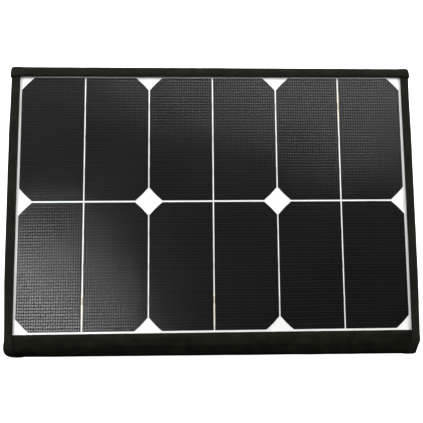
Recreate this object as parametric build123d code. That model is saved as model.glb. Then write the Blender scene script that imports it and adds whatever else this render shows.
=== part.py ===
"""Folding solar suitcase: three framed panels in an accordion fold, with stand legs and a carry handle on the
back shell and a charge controller and a pocket between the folded panels. Millimetres, +Z up, lying closed
on its back shell with its cells up. The origin is the centre of the shell's underside.

The unfolded strip reads from panel C (on the back shell) over panel B (face down on C) to panel A (on top).
"""

from build123d import *
from math import cos, degrees, radians, sin
import os

# ---------------------------------------------------------------- cells and laminate
CELL_SIDE = 125.0          # side of a full wafer
WAFER_DIAMETER = 160.0     # the round ingot that trims the wafer's corners
CELL_THICKNESS = 0.3
CELL_GAP = 1.6             # between neighbouring half cells
ROW_GAP = 2.0              # between the two rows
WAFERS_ACROSS = 3
LINK_LENGTH = 7.0          # solder link that bridges a gap
LINKS_PER_GAP = 3
SHEET_OVER_CELLS = 0.6     # clear front sheet above the cells
BOARD_THICKNESS = 1.5
FOAM_THICKNESS = 3.0

# ---------------------------------------------------------------- cloth, tape and panel outline
CLOTH = 0.6
TAPE = 0.8                 # edge binding
WINDOW_MARGIN_X = 2.25     # white board that shows beside the cells
WINDOW_MARGIN_NEAR = 2.5   # and beyond them, towards the start of the strip
WINDOW_MARGIN_FAR = 1.5    # and towards its end
BOARD_LAP_X, BOARD_LAP_Y = 5.0, 4.1   # board under the cloth, past the window
BAG_EASE_X, BAG_EASE_Y = 2.55, 2.8    # from the board's edge to the cloth's outer face
EDGE_ROUND = 2.5           # rounding along a panel's sides
CAP_OVERHANG = 0.9         # an end binding's tucked end beyond the side binding

# ---------------------------------------------------------------- stack and folds
SHELL_THICKNESS = 6.0      # back shell under panel C
FACE_GAP = 3.0             # between the faces of B and C
BACK_GAP = 18.0            # between the backs of A and B
FRONT_FOLD_RADIUS = 13.2   # cloth round the fold between A and B
FRONT_FOLD_SETBACK = 3.5   # flat cloth between a panel's edge and that fold
REAR_FOLD_RADIUS = 6.5     # the same for the fold between B and C
REAR_FOLD_SETBACK = 1.2
FOLD_PAD = 1.6             # stiffener inside a fold
CREASE = 45.0              # degrees round the corner at which a fold's cloth creases
CREASE_GAP = 0.3
AXIS_CLEAR = 0.1           # crease axis outside the binding

# ---------------------------------------------------------------- wiring inside the panels
JUNCTION_INSET = 78.75     # from the board's left-hand edge to the junction's centre
JUNCTION_SIZE = (60.0, 36.0)
JUNCTION_RIM = (2.0, 0.6)  # width and height of the rim round the potting
RIBBON_WIDTH = 12.0        # flat cable
RIBBON_THICKNESS = 1.2
RIBBON_CLEAR = 0.5

# ---------------------------------------------------------------- charge controller on the back of A
CONTROLLER_TO_EDGE = 60.75  # from the controller's right-hand end to the board's edge
CONTROLLER_Y = 20.0
CONTROLLER_SIZE = (100.0, 72.0)
CONTROLLER_HEIGHT = 13.0
CASE_WALL = 1.6
CASE_CORNER = 6.0
CASE_SPLIT = 7.6           # height of the joint between base and cover
CASE_PLAY = 0.3            # between the cover's inside and what stands under it
COVER_CHAMFER = 1.0
LEAD_ENTRY_X = -28.0       # where the flat lead enters, from the controller's centre
BOARD_STANDOFF = 1.2
CIRCUIT_BOARD = 1.6
DISPLAY_SIZE = (46.0, 24.0)
DISPLAY_TO_BUTTON = 19.0   # from the display's right-hand end to the keys' centres
DISPLAY_Y = 8.0
WINDOW_LIP = 1.5           # the display window's lap on the cover
BUTTON_SIZE = (9.0, 7.0)   # key, with its corners cut off
BUTTON_CORNER = 2.0
BUTTON_COLLAR = 1.2        # flange behind the cover
BUTTON_PROUD = 1.0         # how far a key stands out of the cover; it presses in by less
BUTTON_CLEAR = 0.2
BUTTON_TO_USB = 8.0        # from the keys' centres to the USB sockets' inner ends
BUTTON_PLACES = {"button_menu": 17.0, "button_load": 1.0}   # along Y
USB_OUTER = (14.0, 6.9)
USB_WALL = 0.6
USB_DEPTH = 14.0
USB_TONGUE = (10.0, 1.2)   # width and thickness of the tongue inside
USB_TONGUE_BACK = 3.0      # from the socket's mouth to the tongue's tip
USB_PLACES = (-18.0, 4.0)  # along Y on the controller's right-hand end
TERMINAL_SIZE = (44.0, 11.0, 6.8)
TERMINALS = 4              # battery and load, two poles each
TERMINAL_X = -6.0
TERMINAL_ENTRY = (5.0, 3.8)   # width and height of one wire entry
TERMINAL_ENTRY_DEPTH = 8.0
TERMINAL_ENTRY_SILL = 0.8  # below an entry
TERMINAL_WELL = 4.4        # side of the square well over each clamp
TERMINAL_WELL_DEPTH = 1.6
POST = 5.0                 # side of the square posts under the circuit board

# ---------------------------------------------------------------- pocket on the back of B, closure pads
POCKET_INSET_X = 13.75     # from the board's left-hand edge
POCKET_INSET_Y = 32.6      # from the board's near edge
POCKET_TO_CONTROLLER = 18.0
POCKET_TO_SPACER = 13.0
POCKET_HEIGHT = 11.0
POCKET_CORNER = 12.0
POCKET_CLOTH = 1.0
POCKET_FLANGE = 7.0
POCKET_HEM = 1.2           # tape round the pocket's mouth
HEM_WIDTH = 12.0
SPACER_SIZE = (70.0, 20.0)
SPACER_INSET = (53.75, 17.6)   # from the board's edges to a spacer's centre
HOOK_THICKNESS = 1.5       # hook pad; the loop pad is the same

# ---------------------------------------------------------------- back shell, legs, handle
SHELL_CLEAR = 1.5          # from the shell's edge to the tapes round panel C
SHELL_CORNER = 14.0
SHELL_BEVEL = 1.0
RECESS_CEILING = 5.0       # depth of the recesses, from the underside
RECESS_SPACE = 0.5         # between a leg or the handle and its recess's ceiling
LEG_TO_EDGE = 21.25        # from a leg's outer side to the shell's edge
LEG_AXIS_INSET = 14.0      # from the leg's hinge to the shell's far edge
LEG_FOOT_INSET = 22.0      # from the leg's tip to the shell's near edge
LEG_THICKNESS = 4.0
LEG_SHOULDER = 24.0        # straight length at the hinge, before the taper
LEG_TAPER = 11.0           # how much each side of a leg draws in at its tip
LEG_CORNER = 9.0
LEG_RIM = 9.0              # border left round the bays in a leg's outside
LEG_RIB = 5.0              # between two bays
LEG_BAYS = 4
BAY_DEPTH = 1.2
PART_CLEAR = 1.0           # round a leg or the handle in its recess
PIN_RADIUS = 1.0
PIN_CLEAR = 0.05
PIN_BITE = 6.0             # length of pin held in the plate at each end
FOOT_SIZE = (40.0, 10.0, 2.0)  # rubber foot let into a leg's tip
FOOT_GROOVE = (1.0, 3.0, 0.6)  # width, pitch and depth of its grooves
FOOT_GROOVES = 3
HANDLE_WIDTH = 136.0
HANDLE_TO_LEG = 15.0       # from the handle's side to a leg's inner side
HANDLE_REACH = 78.0
HANDLE_BAR = 13.0
HANDLE_TAPER = 6.0
HANDLE_CORNER = 14.0
HANDLE_AXIS_INSET = 8.0    # from the handle's hinge to the shell's far edge
GRIP_LENGTH = 76.0
GRIP_DEPTH = 0.8           # how deep the bar's waist is under the grip, above and below
GRIP_SIDE = 1.0            # and at its sides
GRIP_RIBS = 12
GRIP_GROOVE = (2.0, 0.4)   # width and depth of the grooves between them
FINGER_NOTCH = (26.0, 12.0)  # notch that lets a finger lift a leg or the handle
FLUTES = 4                 # grooves that stiffen the shell between the legs
FLUTE_SIZE = (104.0, 7.0, 1.0)
FLUTE_PITCH = 22.0

# ---------------------------------------------------------------- derived: a panel's layers, back cloth at z = 0
COLUMN_PITCH = CELL_SIDE / 2 + CELL_GAP
ROW_PITCH = CELL_SIDE + ROW_GAP
GRID_WIDTH = 2 * WAFERS_ACROSS * COLUMN_PITCH - CELL_GAP
GRID_DEPTH = CELL_SIDE + ROW_PITCH
WINDOW_X = GRID_WIDTH / 2 + WINDOW_MARGIN_X          # half width of the window in the cloth
WINDOW_NEAR = GRID_DEPTH / 2 + WINDOW_MARGIN_NEAR    # from the cells' centre to its two edges along Y
WINDOW_FAR = GRID_DEPTH / 2 + WINDOW_MARGIN_FAR
BOARD_X, BOARD_Y = WINDOW_X + BOARD_LAP_X, WINDOW_NEAR + BOARD_LAP_Y
BAG_X, BAG_Y = BOARD_X + BAG_EASE_X, BOARD_Y + BAG_EASE_Y
JUNCTION_X = JUNCTION_INSET - BOARD_X
Z_FOAM = CLOTH
Z_BOARD = Z_FOAM + FOAM_THICKNESS
Z_CELLS = Z_BOARD + BOARD_THICKNESS
Z_SHEET_TOP = Z_CELLS + CELL_THICKNESS + SHEET_OVER_CELLS
Z_FACE = Z_SHEET_TOP + CLOTH
Z_RIBBON = Z_BOARD - RIBBON_THICKNESS
TAPE_X = BAG_X + TAPE

# ---------------------------------------------------------------- derived: the stack
C_BACK = SHELL_THICKNESS
C_FACE = C_BACK + Z_FACE
B_FACE = C_FACE + FACE_GAP
B_BACK = B_FACE + Z_FACE
A_BACK = B_BACK + BACK_GAP
A_FACE = A_BACK + Z_FACE
PLACE_A = Pos(0, 0, A_BACK)
PLACE_B = Pos(0, 0, B_BACK) * Rot(180, 0, 0)
PLACE_C = Pos(0, 0, C_BACK)
NEAR, FAR = -1, 1

# ---------------------------------------------------------------- derived: places on the backs and the shell
CONTROLLER_X = BOARD_X - CONTROLLER_TO_EDGE - CONTROLLER_SIZE[0] / 2
BUTTON_X = CONTROLLER_SIZE[0] / 2 - USB_DEPTH - BUTTON_TO_USB
DISPLAY_OFFSET = (BUTTON_X - DISPLAY_TO_BUTTON - DISPLAY_SIZE[0] / 2, DISPLAY_Y)
SPACER_X, SPACER_Y = BOARD_X - SPACER_INSET[0], BOARD_Y - SPACER_INSET[1]
SPACER_HEIGHT = BACK_GAP - 2 * HOOK_THICKNESS
POCKET_X = (POCKET_INSET_X - BOARD_X, CONTROLLER_X - CONTROLLER_SIZE[0] / 2 - POCKET_TO_CONTROLLER)
POCKET_Y = (POCKET_INSET_Y - BOARD_Y, SPACER_Y - SPACER_SIZE[1] / 2 - POCKET_TO_SPACER)
SHELL_X, SHELL_Y = WINDOW_X - SHELL_CLEAR, WINDOW_FAR - SHELL_CLEAR
LEG_INNER, LEG_OUTER = HANDLE_WIDTH / 2 + HANDLE_TO_LEG, SHELL_X - LEG_TO_EDGE
LEG_X = (LEG_INNER + LEG_OUTER) / 2
LEG_AXIS_Y, LEG_FOOT_Y = SHELL_Y - LEG_AXIS_INSET, LEG_FOOT_INSET - SHELL_Y
HANDLE_AXIS_Y = SHELL_Y - HANDLE_AXIS_INSET
HANDLE_FAR = HANDLE_AXIS_Y - HANDLE_REACH
Z_LEG = RECESS_CEILING - LEG_THICKNESS - RECESS_SPACE
Z_AXIS = Z_LEG + LEG_THICKNESS / 2


def block(x0, x1, y0, y1, z0, z1):
    """Box between two values along each axis, given in either order."""
    return Pos((x0 + x1) / 2, (y0 + y1) / 2, (z0 + z1) / 2) * Box(abs(x1 - x0), abs(y1 - y0), abs(z1 - z0))


def prism_x(face, x0, x1):
    """Extrudes a face that lies in the YZ plane from x0 to x1."""
    return Pos(x0, 0, 0) * extrude(face, x1 - x0, dir=(1, 0, 0))


def prism_y(sketch, y0, y1):
    """Extrudes a sketch drawn in X and Z from y0 to y1."""
    return Pos(0, y0, 0) * extrude(Plane.XZ * sketch, y1 - y0, dir=(0, 1, 0))


def rod_x(radius, x0, x1, y, z):
    return Pos((x0 + x1) / 2, y, z) * Rot(0, 90, 0) * Cylinder(radius, abs(x1 - x0))


def both_sides(shape):
    """The shape and its mirror image across X = 0."""
    return [shape, mirror(shape, Plane.YZ)]


class Fold:
    """Cloth that runs round from a lower panel to the next one up. Depths count inwards from its outer
    face."""

    def __init__(self, side, tangent, radius, low_face, high_face):
        self.side = side                    # NEAR or FAR
        self.tangent = tangent              # distance of the corners' centres from the X axis
        self.radius = radius
        self.low = low_face + radius        # heights of the two corners' centres
        self.high = high_face - radius
        self.slack = degrees(CREASE_GAP / 2 / radius)

    def point(self, top, depth, angle):
        """(y, z) at a depth, and at an angle round the corner from the panel's face."""
        r = self.radius - depth
        y = self.side * (self.tangent + r * sin(radians(angle)))
        return y, (self.high + r * cos(radians(angle)) if top else self.low - r * cos(radians(angle)))

    def corner(self, top, d_out, d_in, start, end, x0, x1):
        """Stretch of a corner between two depths and two angles."""
        mid = (start + end) / 2
        p = [self.point(top, d, a) for d, a in ((d_in, start), (d_in, mid), (d_in, end),
                                                (d_out, end), (d_out, mid), (d_out, start))]
        with BuildSketch(Plane.YZ) as sketch:
            with BuildLine():
                ThreePointArc(p[0], p[1], p[2])
                Line(p[2], p[3])
                ThreePointArc(p[3], p[4], p[5])
                Line(p[5], p[0])
            make_face()
        return prism_x(sketch.sketch, x0, x1)

    def beside_panel(self, top, d_out, d_in, x0, x1):
        """What moves with the panel: flat from the panel's edge, then round the corner up to the crease."""
        y, z = self.point(top, d_out, 0)
        _, z_in = self.point(top, d_in, 0)
        flat = block(x0, x1, self.side * BAG_Y, y, z, z_in)
        return flat + self.corner(top, d_out, d_in, 0, CREASE - self.slack, x0, x1)

    def between_creases(self, d_out, d_in, x0, x1):
        """What moves with the spine: part of a corner, the flat spine, part of the other corner."""
        y_out, y_in = (self.side * (self.tangent + self.radius - d) for d in (d_out, d_in))
        spine = block(x0, x1, y_out, y_in, self.low, self.high)
        for top in (False, True):
            spine += self.corner(top, d_out, d_in, CREASE + self.slack, 90, x0, x1)
        return spine

    def axis_point(self, top):
        """(y, z) of a crease's axis, just outside the binding."""
        return self.point(top, -TAPE - AXIS_CLEAR, CREASE)


FRONT_FOLD = Fold(NEAR, BAG_Y + FRONT_FOLD_SETBACK, FRONT_FOLD_RADIUS, B_FACE, A_FACE)
REAR_FOLD = Fold(FAR, BAG_Y + REAR_FOLD_SETBACK, REAR_FOLD_RADIUS, C_BACK, B_BACK)
FRONT_RIBBON_DEPTH = Z_FACE - Z_BOARD     # from the front fold's cloth to the flat cable
REAR_RIBBON_DEPTH = Z_RIBBON              # from the rear fold's cloth


# ---------------------------------------------------------------- laminate, in the panel's own frame
def cells():
    """Every half cell of a panel, as separate solids; the ingot's round trims a wafer's outer corners."""
    wafer = Rectangle(CELL_SIDE, CELL_SIDE) & Circle(WAFER_DIAMETER / 2)
    found = []
    for row in (-0.5, 0.5):
        for number in range(WAFERS_ACROSS):
            x = (number - (WAFERS_ACROSS - 1) / 2) * 2 * COLUMN_PITCH
            for side in (-1, 1):
                half = wafer & (Pos(side * CELL_SIDE / 4, 0) * Rectangle(CELL_SIDE / 2, CELL_SIDE))
                at = Pos(x + side * CELL_GAP / 2, row * ROW_PITCH, Z_CELLS)
                found.append(at * extrude(half, CELL_THICKNESS))
    return found


def link(x, y, width, depth):
    strip = extrude(Rectangle(width, depth), CELL_THICKNESS)
    return Pos(x, y, Z_CELLS) * strip


def cell_links():
    """Solder links across the gaps of each row, and one that joins the rows at the end of the string."""
    found = [link(GRID_WIDTH / 2 - CELL_SIDE / 4, 0, LINK_LENGTH, ROW_GAP)]
    spacing = CELL_SIDE * 0.8 / LINKS_PER_GAP
    for row in (-0.5, 0.5):
        for gap in range(1, 2 * WAFERS_ACROSS):
            x = gap * COLUMN_PITCH - CELL_GAP / 2 - GRID_WIDTH / 2
            for n in range(LINKS_PER_GAP):
                dy = (n - (LINKS_PER_GAP - 1) / 2) * spacing
                found.append(link(x, row * ROW_PITCH + dy, CELL_GAP, LINK_LENGTH))
    return found


def slab(z0, z1):
    """Layer as wide as the board."""
    return block(-BOARD_X, BOARD_X, -BOARD_Y, BOARD_Y, z0, z1)


def ribbon_slot(y0, y1):
    """Room for the flat cable."""
    half = RIBBON_WIDTH / 2 + RIBBON_CLEAR
    return block(JUNCTION_X - half, JUNCTION_X + half, y0, y1, Z_RIBBON - RIBBON_CLEAR, Z_BOARD)


def foam(fold_sides):
    """Padding with a cut-out for the junction and a channel for each flat cable."""
    width, depth = (s + 2 * RIBBON_CLEAR for s in JUNCTION_SIZE)
    pad = slab(Z_FOAM, Z_BOARD) - Pos(JUNCTION_X, 0, Z_FOAM) * Box(width, depth, 3 * FOAM_THICKNESS)
    for side in fold_sides:
        pad -= ribbon_slot(0, side * (BOARD_Y + 1))
    return pad


def junction():
    """Shallow potted box with a raised rim."""
    width, depth = JUNCTION_SIZE
    rim, height = JUNCTION_RIM
    box = extrude(Rectangle(width, depth), FOAM_THICKNESS)
    potting = extrude(Rectangle(width - 2 * rim, depth - 2 * rim), height)
    return Pos(JUNCTION_X, 0, Z_FOAM) * (box - potting)


def jumper(fold_side):
    """Flat cable from the junction to the panel's edge."""
    half = RIBBON_WIDTH / 2
    start = fold_side * JUNCTION_SIZE[1] / 2
    return block(JUNCTION_X - half, JUNCTION_X + half, start, fold_side * BAG_Y, Z_RIBBON, Z_BOARD)


# ---------------------------------------------------------------- cloth, in the panel's own frame
def bag_solid(inset):
    """Solid inside a panel's cloth, rounded along its sides; inset counts from the cloth's outer face."""
    section = Pos(0, Z_FACE / 2) * RectangleRounded(
        2 * (BAG_X - inset), Z_FACE - 2 * inset, EDGE_ROUND - inset)
    return prism_y(section, inset - BAG_Y, BAG_Y - inset)


def face_region(front_side, rear_side):
    """Space that belongs to the face cloth: above the side seam. At the front fold the back cloth closes the
    edge, at the rear fold the face cloth does."""
    wide, tall = BAG_X + 1, Z_FACE + 1
    region = block(-wide, wide, -BAG_Y - 1, BAG_Y + 1, Z_FACE / 2, tall)
    for side, low in ((front_side, Z_SHEET_TOP), (rear_side, CLOTH)):
        if side:
            inner, outer = side * (BAG_Y - CLOTH), side * (BAG_Y + 1)
            region -= block(-wide, wide, inner, outer, -1, tall)
            region += block(-wide, wide, inner, outer, low, tall)
    return region


def covers(front_side, rear_side):
    """Face cloth with its window, and back cloth."""
    shell = bag_solid(0) - bag_solid(CLOTH)
    region = face_region(front_side, rear_side)
    face = (shell & region) - block(-WINDOW_X, WINDOW_X, -WINDOW_NEAR, WINDOW_FAR, Z_CELLS, Z_FACE + 1)
    back = shell - region
    for side in (front_side, rear_side):
        if side:
            slot = ribbon_slot(side * (BAG_Y - 2), side * (BAG_Y + 2))
            face -= slot
            back -= slot
    return face, back


def side_binding_section():
    """Tape folded over both sides of a panel: two C shapes in X and Z."""
    outer = Pos(0, Z_FACE / 2) * RectangleRounded(2 * TAPE_X, Z_FACE + 2 * TAPE, EDGE_ROUND + TAPE)
    inner = Pos(0, Z_FACE / 2) * RectangleRounded(2 * BAG_X, Z_FACE, EDGE_ROUND)
    return outer - inner - Rectangle(2 * WINDOW_X, 4 * Z_FACE)


def fold_binding(stretch):
    """The same tape along a fold's cloth, on the right side. stretch(d_out, d_in, x0, x1) shapes a layer."""
    tape = stretch(-TAPE, 0, WINDOW_X, TAPE_X)
    tape += stretch(0, CLOTH, BAG_X, TAPE_X)
    return tape + stretch(CLOTH, CLOTH + TAPE, WINDOW_X, TAPE_X)


def end_binding(side, window_edge):
    """Tape folded over a panel's free end, between the side bindings, with a cap that laps over each."""
    reach = side * (BAG_Y + TAPE)
    tape = block(-WINDOW_X, WINDOW_X, side * window_edge, reach, -TAPE, Z_FACE + TAPE)
    tape -= block(-WINDOW_X, WINDOW_X, side * (window_edge - 1), side * BAG_Y, 0, Z_FACE)
    lap = 2 * TAPE
    cap_x = TAPE_X + CAP_OVERHANG
    cap_end = side * (BAG_Y + TAPE)
    cap = block(WINDOW_X - lap, cap_x, side * window_edge, cap_end, -lap, Z_FACE + lap)
    cap = fillet(cap.edges().filter_by(Axis.Y).sort_by(Axis.X)[-2:], EDGE_ROUND + TAPE)
    cap -= block(WINDOW_X - lap - 1, WINDOW_X, side * (window_edge - 1), side * (BAG_Y + 2),
                 -TAPE, Z_FACE + TAPE)
    cap -= prism_y(side_binding_hull(), *sorted((side * (window_edge - 1), side * BAG_Y)))
    return [tape + both_sides(cap)[0] + both_sides(cap)[1]]


def side_binding_hull():
    """Outline of the side bindings, filled in."""
    return Pos(0, Z_FACE / 2) * RectangleRounded(2 * TAPE_X, Z_FACE + 2 * TAPE, EDGE_ROUND + TAPE)


# ---------------------------------------------------------------- panels
def panel(name, place, folds, free_side):
    """Nodes of one panel, placed. folds lists (fold, top, front): the folds that it runs into."""
    flipped = -1 if name == "b" else 1          # B lies face down, so its own Y runs the other way
    front_side = rear_side = None
    for fold, _, front in folds:
        if front:
            front_side = fold.side * flipped
        else:
            rear_side = fold.side * flipped
    fold_sides = [s for s in (front_side, rear_side) if s]
    face, back = covers(front_side, rear_side)
    parts = {
        "cells": cells() + cell_links(),
        "front_sheet": slab(Z_CELLS + CELL_THICKNESS, Z_SHEET_TOP),
        "board": slab(Z_BOARD, Z_CELLS),
        "foam": foam(fold_sides),
        "junction": junction(),
    }
    parts = {key: placed(place, shape) for key, shape in parts.items()}
    face, back = place * face, place * back
    jumpers = {side: place * jumper(side) for side in fold_sides}
    bindings = place * prism_y(side_binding_section(), -BAG_Y, BAG_Y)
    half = RIBBON_WIDTH / 2
    for fold, top, front in folds:
        cloth = fold.beside_panel(top, 0, CLOTH, -BAG_X, BAG_X)
        if front:
            face += cloth
        else:
            back += cloth
        depth = FRONT_RIBBON_DEPTH if front else REAR_RIBBON_DEPTH
        jumpers[fold.side * flipped] += fold.beside_panel(
            top, depth, depth + RIBBON_THICKNESS, JUNCTION_X - half, JUNCTION_X + half)
        tape = fold_binding(lambda d0, d1, x0, x1: fold.beside_panel(top, d0, d1, x0, x1))
        for shape in both_sides(tape):
            bindings += shape
    parts.update(face_cover=face, back_cover=back, jumper=list(jumpers.values()), side_bindings=bindings)
    if free_side:
        window_edge = WINDOW_FAR if free_side == FAR else WINDOW_NEAR
        parts["end_binding"] = placed(place, end_binding(free_side, window_edge))
    return {f"{key}_{name}": shape for key, shape in parts.items()}


def placed(place, shape):
    return [place * s for s in shape] if isinstance(shape, list) else place * shape


def spine(name, fold, ribbon_depth):
    """Nodes of the stretch of a fold between its creases."""
    pad_x = WINDOW_X - 2
    half = RIBBON_WIDTH / 2
    tape = fold_binding(fold.between_creases)
    return {
        f"spine_cover_{name}": fold.between_creases(0, CLOTH, -BAG_X, BAG_X),
        f"spine_pad_{name}": fold.between_creases(CLOTH, CLOTH + FOLD_PAD, -pad_x, pad_x),
        f"spine_bindings_{name}": both_sides(tape),
        f"spine_jumper_{name}": fold.between_creases(
            ribbon_depth, ribbon_depth + RIBBON_THICKNESS, JUNCTION_X - half, JUNCTION_X + half),
    }


# ---------------------------------------------------------------- charge controller, in its own frame
# Controller frame: base on z = 0, display towards +Z, X as on the panel.
def tray(height):
    """Open tray with the case's outline, floor down."""
    width, depth = CONTROLLER_SIZE
    hollow = Rectangle(width - 2 * CASE_WALL, depth - 2 * CASE_WALL)
    return (extrude(RectangleRounded(width, depth, CASE_CORNER), height)
            - Pos(0, 0, CASE_WALL) * extrude(chamfer(hollow.vertices(), CASE_CORNER / 2), height))


Z_CIRCUIT = CASE_WALL + BOARD_STANDOFF
Z_COMPONENTS = Z_CIRCUIT + CIRCUIT_BOARD
Z_COVER_INNER = CONTROLLER_HEIGHT - CASE_WALL
CIRCUIT_SIZE = tuple(size - 2 * CASE_WALL - 2 for size in CONTROLLER_SIZE)


def centred(width, depth, z0, z1, at=(0, 0)):
    """Block centred on a point of the controller."""
    return Pos(*at) * block(-width / 2, width / 2, -depth / 2, depth / 2, z0, z1)


def usb_box(y, grow=0.0):
    """Outside of a USB socket at the controller's right-hand end, grown all round."""
    end = CONTROLLER_SIZE[0] / 2
    w, h = USB_OUTER[0] / 2 + grow, USB_OUTER[1] + grow
    return block(end - USB_DEPTH, end, y - w, y + w, Z_COMPONENTS - grow, Z_COMPONENTS + h)


def usb_socket(y):
    """Open shell with the tongue that a plug slides over."""
    end = CONTROLLER_SIZE[0] / 2
    w, h = USB_OUTER[0] / 2 - USB_WALL, USB_OUTER[1] - USB_WALL
    hollow = block(end - USB_DEPTH + 1, end + 1, y - w, y + w, Z_COMPONENTS + USB_WALL, Z_COMPONENTS + h)
    width, thickness = USB_TONGUE
    tongue = block(end - USB_DEPTH, end - USB_TONGUE_BACK, y - width / 2, y + width / 2,
                   Z_COMPONENTS + h - thickness, Z_COMPONENTS + h)
    return usb_box(y) - hollow + tongue


def terminal_box(grow=0.0):
    width, depth, height = TERMINAL_SIZE
    near = -CONTROLLER_SIZE[1] / 2
    return block(TERMINAL_X - width / 2 - grow, TERMINAL_X + width / 2 + grow, near, near + depth + grow,
                 Z_COMPONENTS - grow, Z_COMPONENTS + height + grow)


def terminal_wells(z0, z1, side):
    """Square wells over the clamps."""
    pitch = TERMINAL_SIZE[0] / TERMINALS
    y = -CONTROLLER_SIZE[1] / 2 + TERMINAL_SIZE[1] / 2 + 1
    return [centred(side, side, z0, z1, (TERMINAL_X + (n - (TERMINALS - 1) / 2) * pitch, y))
            for n in range(TERMINALS)]


def terminal_block():
    width, height = TERMINAL_ENTRY
    near = -CONTROLLER_SIZE[1] / 2
    pitch = TERMINAL_SIZE[0] / TERMINALS
    sill = Z_COMPONENTS + TERMINAL_ENTRY_SILL
    entries = []
    for n in range(TERMINALS):
        x = TERMINAL_X + (n - (TERMINALS - 1) / 2) * pitch
        entries.append(block(x - width / 2, x + width / 2, near - 1, near + TERMINAL_ENTRY_DEPTH, sill,
                             sill + height))
    top = Z_COMPONENTS + TERMINAL_SIZE[2]
    return terminal_box() - entries - terminal_wells(top - TERMINAL_WELL_DEPTH, top + 1, TERMINAL_WELL)


def circuit_board():
    outline = chamfer(Rectangle(*CIRCUIT_SIZE).vertices(), CASE_CORNER / 2)
    return Pos(0, 0, Z_CIRCUIT) * extrude(outline, CIRCUIT_BOARD)


def controller_fixed():
    """Nodes of the controller that move with panel A."""
    openings = [usb_box(y, 0.1) for y in USB_PLACES] + [terminal_box(0.1)]
    base = tray(CASE_SPLIT)
    post_x, post_y = ((size - POST) / 2 for size in CIRCUIT_SIZE)
    for sx in (-1, 1):
        for sy in (-1, 1):
            base += centred(POST, POST, CASE_WALL, Z_CIRCUIT, (sx * post_x, sy * post_y))
    base -= openings + [lead_slot(RIBBON_CLEAR)]
    cover = Pos(0, 0, CONTROLLER_HEIGHT) * Rot(180, 0, 0) * tray(CONTROLLER_HEIGHT - CASE_SPLIT)
    cover = chamfer(cover.faces().sort_by(Axis.Z)[-1].outer_wire().edges(), COVER_CHAMFER)
    width, depth = DISPLAY_SIZE
    lip = 2 * WINDOW_LIP
    cover -= openings + terminal_wells(CASE_SPLIT, CONTROLLER_HEIGHT, TERMINAL_WELL)
    cover -= centred(width - lip, depth - lip, CASE_SPLIT, CONTROLLER_HEIGHT, DISPLAY_OFFSET)
    cover -= centred(width, depth, CONTROLLER_HEIGHT - 0.8, CONTROLLER_HEIGHT, DISPLAY_OFFSET)
    for y in BUTTON_PLACES.values():
        cover -= key_block(y, BUTTON_CLEAR, CASE_SPLIT, CONTROLLER_HEIGHT)
    return {
        "controller_base": base,
        "controller_cover": cover,
        "circuit_board": circuit_board() - lead_slot(0),
        "display": centred(width - 2, depth - 2, Z_COMPONENTS, Z_COVER_INNER - CASE_PLAY, DISPLAY_OFFSET),
        "display_window": centred(width - 0.2, depth - 0.2, CONTROLLER_HEIGHT - 0.8, CONTROLLER_HEIGHT,
                                  DISPLAY_OFFSET),
        "terminal_block": terminal_block(),
        "usb_sockets": [usb_socket(y) for y in USB_PLACES],
    }


def lead_slot(grow):
    """Slot for the flat lead through the base."""
    return Pos(LEAD_ENTRY_X, 0, 0) * block(
        -RIBBON_THICKNESS / 2 - grow, RIBBON_THICKNESS / 2 + grow,
        CONTROLLER_Y - RIBBON_WIDTH / 2 - grow, CONTROLLER_Y + RIBBON_WIDTH / 2 + grow, -1, Z_COMPONENTS)


def key_block(y, grow, z0, z1):
    """A key's outline, grown all round, between two heights."""
    width, depth = (size + 2 * grow for size in BUTTON_SIZE)
    outline = chamfer(Rectangle(width, depth).vertices(), BUTTON_CORNER)
    return Pos(BUTTON_X, y, z0) * extrude(outline, z1 - z0)


def button(y):
    """Key that stands proud of the cover, with a collar behind it."""
    z = Z_COVER_INNER - CASE_PLAY
    return key_block(y, 0, z, CONTROLLER_HEIGHT + BUTTON_PROUD) + key_block(y, BUTTON_COLLAR, z - 1, z)


PLACE_CONTROLLER = Pos(CONTROLLER_X, CONTROLLER_Y, A_BACK) * Rot(180, 0, 0)


def controller_lead():
    """Flat lead from junction A to the controller, bent down through the back cloth."""
    half = RIBBON_WIDTH / 2
    x = CONTROLLER_X + LEAD_ENTRY_X
    start = JUNCTION_X + JUNCTION_SIZE[0] / 2
    lead = block(start, x + RIBBON_THICKNESS / 2, -half, half, Z_RIBBON, Z_BOARD)
    lead += block(x - RIBBON_THICKNESS / 2, x + RIBBON_THICKNESS / 2, -half, half, -Z_COMPONENTS, Z_BOARD)
    return PLACE_A * lead


def lead_room():
    """Room for that lead in the foam and in the back cloth."""
    half = RIBBON_WIDTH / 2 + RIBBON_CLEAR
    x = CONTROLLER_X + LEAD_ENTRY_X
    start = JUNCTION_X + JUNCTION_SIZE[0] / 2
    thick = RIBBON_THICKNESS / 2 + RIBBON_CLEAR
    room = block(start, x + thick, -half, half, Z_RIBBON - RIBBON_CLEAR, Z_BOARD)
    return PLACE_A * (room + block(x - thick, x + thick, -half, half, -1, Z_BOARD))


# ---------------------------------------------------------------- pocket and closure
def pocket():
    """Bellows pocket sewn to the back of B along three sides; its mouth faces the rear fold."""
    (x0, x1), (y0, y1) = POCKET_X, POCKET_Y
    z0, z1 = B_BACK, B_BACK + POCKET_HEIGHT
    body = block(x0, x1, y0, y1, z0, z1)
    body = fillet(body.edges().filter_by(Axis.Z).group_by(Axis.Y)[0], POCKET_CORNER)
    body -= block(x0 + POCKET_CLOTH, x1 - POCKET_CLOTH, y0 + POCKET_CLOTH, y1 + 1, z0 - 1, z1 - POCKET_CLOTH)
    flange = block(x0 - POCKET_FLANGE, x1 + POCKET_FLANGE, y0 - POCKET_FLANGE, y1, z0, z0 + POCKET_CLOTH)
    flange -= block(x0 + POCKET_CLOTH, x1 - POCKET_CLOTH, y0 + POCKET_CLOTH, y1 + 1, z0 - 1, z1)
    return body + flange


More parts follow.
